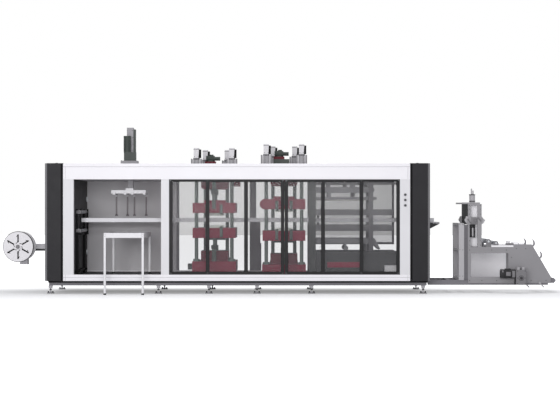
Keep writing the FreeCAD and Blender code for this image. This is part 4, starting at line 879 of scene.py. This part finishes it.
for low, high in picker_drive:
    x = picker_x - 0.05
    y = (low[1] + high[1]) / 2
    for step in range(13):
        z = low[2] + 0.2 + step * 0.018
        add_rod(drive_trim, (x, y, z), (x, y, z + 0.006), 0.0765, 32)
    add_rod(drive_trim, (x, y, high[2] - 0.03), (x, y, high[2]), 0.075, 40, edge=0.004)
finish_piece("picker_motor_fins", drive_trim, motor_coat)


# Table: a light frame of white square tube with a sheet tray. Plastic feet close the leg ends, and
# corner plates hold the joints.
dress("receiving_table", pale_profile)
soften("receiving_table", width=0.002)
table_low, table_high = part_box("receiving_table")
leg = 0.044
rear_leg_foot = 0.366
shoes = bmesh.new()
corners = bmesh.new()
for x in (table_low.x, table_high.x - leg):
    for y, foot in ((table_low.y, 0.0), (table_high.y - leg, rear_leg_foot)):
        add_block(shoes, (x - 0.003, y - 0.003, foot), (x + leg + 0.003, y + leg + 0.003, foot + 0.03), 0.002)
    inward = 1 if x == table_low.x else -1
    seam = x + leg if inward > 0 else x
    add_block(corners, (seam - 0.0015, table_low.y - 0.0012, 1.131), (seam + 0.0015, table_low.y, 1.229), 0.0)
    for z in (1.155, 1.205):
        add_bolt(corners, (x + leg / 2, table_low.y, z), (0, -1, 0), 0.006)
finish_piece("table_shoes", shoes, rubber_and_shade_black)
finish_piece("table_joints", corners, tower_grey)


# Exit stand: a black steel frame that turns the waste web down to the reel over two plain rollers.
# Flange bearings hold the rollers between pairs of strips.
dress("exit_stand", deep_black)
dress("exit_rollers", zinc)
soften("exit_stand", "exit_rollers", width=0.002)
flanges = bmesh.new()
stand_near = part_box("exit_stand")[0].y
for low, high in solids("exit_rollers"):
    x = (low[0] + high[0]) / 2
    z = (low[2] + high[2]) / 2
    for y, way in ((stand_near, -1), (high[1] + 0.04, 1)):
        add_block(flanges, (x - 0.05, y - 0.004 if way < 0 else y, z - 0.032),
                  (x + 0.05, y if way < 0 else y + 0.004, z + 0.032))
        add_ring(flanges, (x, y + way * 0.006, z), (0, way, 0), 0.022, 0.006, 28)
        for side in (-0.038, 0.038):
            add_bolt(flanges, (x + side, y + way * 0.004, z), (0, way, 0), 0.006)
finish_piece("exit_roller_flanges", flanges, nut_grey)


# Waste reel: two pale discs on a core. Slots in the front disc hold dark fingers that grip the web,
# and a plain nut and washer hold the reel on its shaft, which turns in a painted arm.
reel_pale = bright_metal("reel_pale", tone(216, 214, 217), 0.42, (3.0, 1.0, 3.0), 24.0, 0.02, 0.12)
arm_coat = coat("arm_coat", tone(206, 204, 208), 0.42)
dress("waste_reel", reel_pale)
dress("winder_arm", arm_coat)
reel_low, reel_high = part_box("waste_reel")
reel_x = (reel_low.x + reel_high.x) / 2
reel_z = (reel_low.z + reel_high.z) / 2
reel_face = reel_low.y + 0.024
slot_start, slot_end = 0.105, 0.235
hub_bolt_circle = 0.075
# Painted shade: the rim seen through the slots of the front disc is painted black.
paint("waste_reel", deep_black, lambda at: reel_face + 0.0155 < at.y < reel_face + 0.0365)
paint("winder_arm", dark_detail, lambda at: at.y > reel_face + 0.497)
soften("waste_reel", "winder_arm", width=0.0015)
fingers = bmesh.new()
for turn in range(6):
    angle = math.radians(60 * turn + 90)
    out = Vector((math.cos(angle), 0.0, math.sin(angle)))
    across_way = Vector((-math.sin(angle), 0.0, math.cos(angle)))
    hub = Vector((reel_x, reel_face + 0.006, reel_z))
    for reach in (slot_start, slot_end):
        spot = hub + out * reach
        add_rod(fingers, spot, spot + Vector((0, -0.014, 0)), 0.015, 20, edge=0.0015)
    add_rod(fingers, hub + out * slot_end, hub + out * slot_start, 0.0105, 12)
    for start, end in ((0.24, 0.2), (slot_start, 0.07)):
        add_rod(fingers, hub + out * start, hub + out * end + across_way * 0.034, 0.009, 12)
finish_piece("reel_fingers", fingers, deep_black, "reel")
reel_nut = bmesh.new()
add_rod(reel_nut, (reel_x, reel_low.y - 0.006, reel_z), (reel_x, reel_low.y + 0.001, reel_z), 0.042, 40,
        edge=0.002)
add_rod(reel_nut, (reel_x, reel_low.y - 0.022, reel_z), (reel_x, reel_low.y - 0.005, reel_z), 0.03, 6)
for turn in range(6):
    angle = math.radians(60 * turn + 60)
    across, up = hub_bolt_circle * math.cos(angle), hub_bolt_circle * math.sin(angle)
    add_bolt(reel_nut, (reel_x + across, reel_face, reel_z + up), (0, -1, 0), 0.009)
finish_piece("reel_nut", reel_nut, nut_grey, "reel")
arm_low, arm_high = solids("winder_arm")[0]
channel = bmesh.new()
arm_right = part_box("left_end_cabinet")[0].x
add_block(channel, (reel_x + 0.05, arm_low[1] + 0.01, 0.845), (arm_right, arm_high[1] - 0.01, 0.889), 0.003)
add_block(channel, (arm_right - 0.014, arm_low[1] - 0.03, 0.84), (arm_right, arm_high[1] + 0.03, 1.04), 0.002)
for y in (arm_low[1] - 0.016, arm_high[1] + 0.016):
    for z in (0.862, 1.018):
        add_bolt(channel, (arm_right - 0.014, y, z), (-1, 0, 0), 0.009)
finish_piece("arm_channel", channel, dark_detail)


# Infeed table: a folded sheet shelf that guides the film into the chains; the faces under its nose
# are painted dark as shade.
shelf_coat = coat("shelf_coat", tone(176, 174, 177), 0.42)
dress("infeed_table", shelf_coat)
soften("infeed_table", width=0.002)
shelf_low, shelf_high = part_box("infeed_table")
# Painted shade: the faces under the nose are painted dark.
paint("infeed_table", dark_detail, lambda at: at.z < shelf_high.z - 0.04)
shelf_bolts = bmesh.new()
for x in (0.06, 0.14, 0.2):
    add_bolt(shelf_bolts, (shelf_low.x + x, shelf_low.y, shelf_high.z - 0.016), (0, -1, 0), 0.006)
finish_piece("infeed_bolts", shelf_bolts, zinc)


# Unwinder: two grey side plates on the long rails, with a portal and a mast of the same paint; the
# portal takes a lighter copy of it as painted light. Pale sheets and strips are screwed on, and the
# film rollers turn in split bearings on the plates.
motor_dark = coat("motor_dark", tone(50, 49, 51), 0.45, 0.08)
gear_grey = coat("gear_grey", tone(122, 120, 123), 0.45)
# Painted shade: the dark grey for the sheet in the recess beside the mast.
recess_shade_grey = coat("recess_shade_grey", tone(104, 102, 106), 0.45)
unwinder_grey = coat("unwinder_grey", tone(146, 144, 147), 0.46)
mast_grey = coat("mast_grey", tone(150, 148, 151), 0.44)
# Painted light: a lighter copy of the unwinder grey for the portal.
lit_portal_grey = coat("lit_portal_grey", tone(178, 176, 179), 0.44)
cover_pale = coat("cover_pale", tone(246, 244, 247), 0.42)
wing_pale = coat("wing_pale", tone(170, 168, 171), 0.42)
dress("unwinder_rails", rail_coat)
dress("unwinder_plates", unwinder_grey)
dress("unwinder_portal", lit_portal_grey)
dress("unwinder_mast", mast_grey)
dress("unwinder_covers", cover_pale)
dress("unwinder_drive", motor_dark)
dress("roller_bearings", nut_grey)
dress("film_roller_1", zinc)
dress("film_roller_2", zinc)
plate_low, plate_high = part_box("unwinder_plates")
near = plate_low.y
far = plate_high.y
mast_x = plate_low.x
# Painted shade: the mast's left side wall between the plates is painted black.
paint("unwinder_mast", deep_black, lambda at: abs(at.x - mast_x) < 0.013 and near + 0.07 < at.y < far - 0.07
      and 1.39 < at.z < 1.81)
paint("unwinder_mast", dark_detail, lambda at: 1.125 < at.z < 1.389 and at.x < mast_x + 0.15
      and abs(at.x - mast_x) > 0.001 and (at.y < near - 0.001 or near + 0.061 < at.y < near + 0.1))
paint("unwinder_mast", wing_pale, lambda at: at.z > 1.8375)
paint("unwinder_mast", wing_pale, lambda at: 1.39 < at.z < 1.555 and near - 0.001 < at.y < near + 0.045
      and (at.x < mast_x - 0.002 or at.x > mast_x + 0.278))
paint("unwinder_drive", gear_grey, lambda at: at.x > mast_x + 0.939 and at.z < 0.4765)
paint("unwinder_drive", wing_pale, lambda at: at.z > 0.4765 and at.x > mast_x + 0.93)
soften("unwinder_rails", "unwinder_plates", "unwinder_portal", "unwinder_mast", "unwinder_covers",
       "unwinder_drive", "roller_bearings", "film_roller_1", "film_roller_2", width=0.0015)
plate_bolts = [(x, 0.25) for x in (3.85, 4.1, 4.4, 5.1, 5.4)]
plate_bolts += [(x, 0.87) for x in (3.85, 4.3, 4.6)] + [(4.8, 0.9), (4.99, 0.9), (4.7, 0.72), (4.7, 0.42)]
mast_bolts = [(x, z) for x in (3.845, 4.07) for z in (0.97, 1.06, 1.60, 1.70, 1.78)]
portal_bolts = [(x, z) for x in (3.652, 3.713) for z in (0.34, 0.875, 1.392)]
portal_bolts += [(3.775, z) for z in (0.4, 0.75, 1.1, 1.3)]
bolts = bmesh.new()
for x, z in plate_bolts:
    add_bolt(bolts, (x, near, z), (0, -1, 0), 0.008)
    add_bolt(bolts, (x, far, z), (0, 1, 0), 0.008)
for x, z in mast_bolts + portal_bolts:
    add_bolt(bolts, (x, near, z), (0, -1, 0), 0.007)
finish_piece("unwinder_bolts", bolts, collar_green)
band_x, band_z = 3.97, 1.468
band_face = near - 0.004
band_stays = (((3.815, 1.50), (3.872, 1.414)), ((4.026, 1.53), (4.085, 1.452)))
band = bmesh.new()
add_block(band, (3.876, band_face, 1.392), (4.016, near + 0.004, 1.537), 0.002)
add_ring(band, (band_x, near - 0.006, band_z), (0, -1, 0), 0.034, 0.007, 36)
add_rod(band, (band_x, band_face, band_z), (band_x, near - 0.012, band_z), 0.022, 28, edge=0.002)
for angle in (35, 145, 215, 325):
    spot = math.radians(angle)
    across, up = 0.05 * math.cos(spot), 0.05 * math.sin(spot)
    add_bolt(band, (band_x + across, band_face, band_z + up), (0, -1, 0), 0.006)
for start, end in band_stays:
    add_rod(band, (start[0], near - 0.006, start[1]), (end[0], near - 0.006, end[1]), 0.012, 16)
finish_piece("mast_band", band, gear_grey)
sheets = bmesh.new()
add_block(sheets, (mast_x + 0.011, near + 0.092, 0.94), (mast_x + 0.215, near + 0.095, 1.79), 0.001)
for x in (mast_x + 0.035, mast_x + 0.206):
    for z in (0.98, 1.45, 1.76):
        add_rod(sheets, (x, near + 0.059, z), (x, near + 0.093, z), 0.008, 12)
inner_far = far - 0.02
add_block(sheets, (mast_x + 0.05, inner_far - 0.006, 0.27), (mast_x + 0.93, inner_far - 0.003, 0.85), 0.001)
finish_piece("unwinder_sheets", sheets, cover_pale)
# Painted shade: a dark grey sheet in the recess between the portal and the mast.
recess_shade_sheet = bmesh.new()
add_block(recess_shade_sheet, (mast_x - 0.082, near - 0.0015, 0.27), (mast_x - 0.003, near + 0.001, 1.385), 0.0)
finish_piece("recess_shade_panels", recess_shade_sheet, recess_shade_grey)
cylinder_trim = bmesh.new()
jack_x = mast_x + 0.086
jack_y = near + 0.03
tie_y = jack_y - 0.058
jack_collars = ((1.128, 0.066), (1.33, 0.066), (1.368, 0.066), (1.852, 0.064), (1.985, 0.064))
for x in (jack_x - 0.03, jack_x + 0.03):
    add_rod(cylinder_trim, (x, tie_y, 1.14), (x, tie_y, 1.34), 0.009, 14)
for z, radius in jack_collars:
    add_rod(cylinder_trim, (jack_x, jack_y, z), (jack_x, jack_y, z + 0.016), radius, 36, edge=0.002)
finish_piece("jack_trim", cylinder_trim, deep_black)
cylinder_rods = bmesh.new()
pipe_x, pipe_y = jack_x + 0.004, jack_y - 0.052
add_rod(cylinder_rods, (pipe_x, pipe_y, 1.146), (pipe_x, pipe_y, 1.32), 0.018, 16)
add_rod(cylinder_rods, (jack_x, jack_y, 1.118), (jack_x, jack_y, 1.127), 0.062, 32)
finish_piece("jack_rods", cylinder_rods, wing_pale)
motor_z = 0.394
motor_y = near - 0.11
motor_left = mast_x + 0.638
ribs = bmesh.new()
for step in range(9):
    x = motor_left + 0.075 + step * 0.016
    add_rod(ribs, (x, motor_y, motor_z), (x + 0.006, motor_y, motor_z), 0.0925, 40)
motor_rings = ((0.0, 0.012, 0.094), (0.048, 0.012, 0.0945), (0.286, 0.014, 0.0925))
for start, length, radius in motor_rings:
    x = motor_left + start
    add_rod(ribs, (x, motor_y, motor_z), (x + length, motor_y, motor_z), radius, 40, edge=0.003)
add_block(ribs, (motor_left + 0.09, motor_y - 0.05, motor_z + 0.08),
          (motor_left + 0.2, motor_y + 0.05, motor_z + 0.106), 0.004)
for step in range(5):
    angle = math.radians(-150 + step * 30)
    y, z = motor_y + 0.062 * math.cos(angle), motor_z + 0.062 * math.sin(angle)
    add_rod(ribs, (motor_left - 0.001, y, z), (motor_left - 0.005, y, z), 0.008, 14)
finish_piece("unwinder_motor_ribs", ribs, motor_dark)
plates = bmesh.new()
plate_outlines = ((0.02, 0.046, 0.03, 0.07), (0.1, 0.19, -0.04, 0.04), (0.225, 0.28, -0.07, 0.06))
for x0, x1, z0, z1 in plate_outlines:
    add_block(plates, (motor_left + x0, motor_y - 0.1, motor_z + z0),
              (motor_left + x1, motor_y - 0.07, motor_z + z1))
finish_piece("motor_covers", plates, gear_grey)
gear_bolts = bmesh.new()
gear_face = near - 0.2
gear_x, gear_z = 4.864, 0.31
for x in (4.785, 4.942):
    for z in (0.2, gear_z, 0.452):
        add_bolt(gear_bolts, (x, gear_face, z), (0, -1, 0), 0.008)
add_ring(gear_bolts, (gear_x, gear_face, gear_z), (0, -1, 0), 0.05, 0.007, 40)
add_rod(gear_bolts, (gear_x, gear_face, gear_z), (gear_x, gear_face - 0.01, gear_z), 0.03, 32, edge=0.002)
finish_piece("gearbox_bolts", gear_bolts, dark_grey)
levers = bmesh.new()
lever_y = near - 0.02
lever_ways = ((4.966, 0.196, 5.06, 0.116), (5.27, 0.205, 5.355, 0.116))
for x, z, end_x, end_z in lever_ways:
    add_rod(levers, (x, lever_y, z), (end_x, lever_y, end_z), 0.0125, 16, edge=0.002)
    add_rod(levers, (x, lever_y, z), (x, near + 0.01, z), 0.018, 20, edge=0.002)
    add_rod(levers, (x, near - 0.032, z), (x, near - 0.01, z), 0.022, 20, edge=0.002)
finish_piece("clamp_levers", levers, wing_pale)
bearing_bolts = bmesh.new()
for low, high in solids("roller_bearings"):
    for x in (low[0] + 0.014, high[0] - 0.014):
        add_bolt(bearing_bolts, (x, (low[1] + high[1]) / 2, low[2] + 0.112), (0, 0, 1), 0.006)
finish_piece("bearing_bolts", bearing_bolts, zinc)
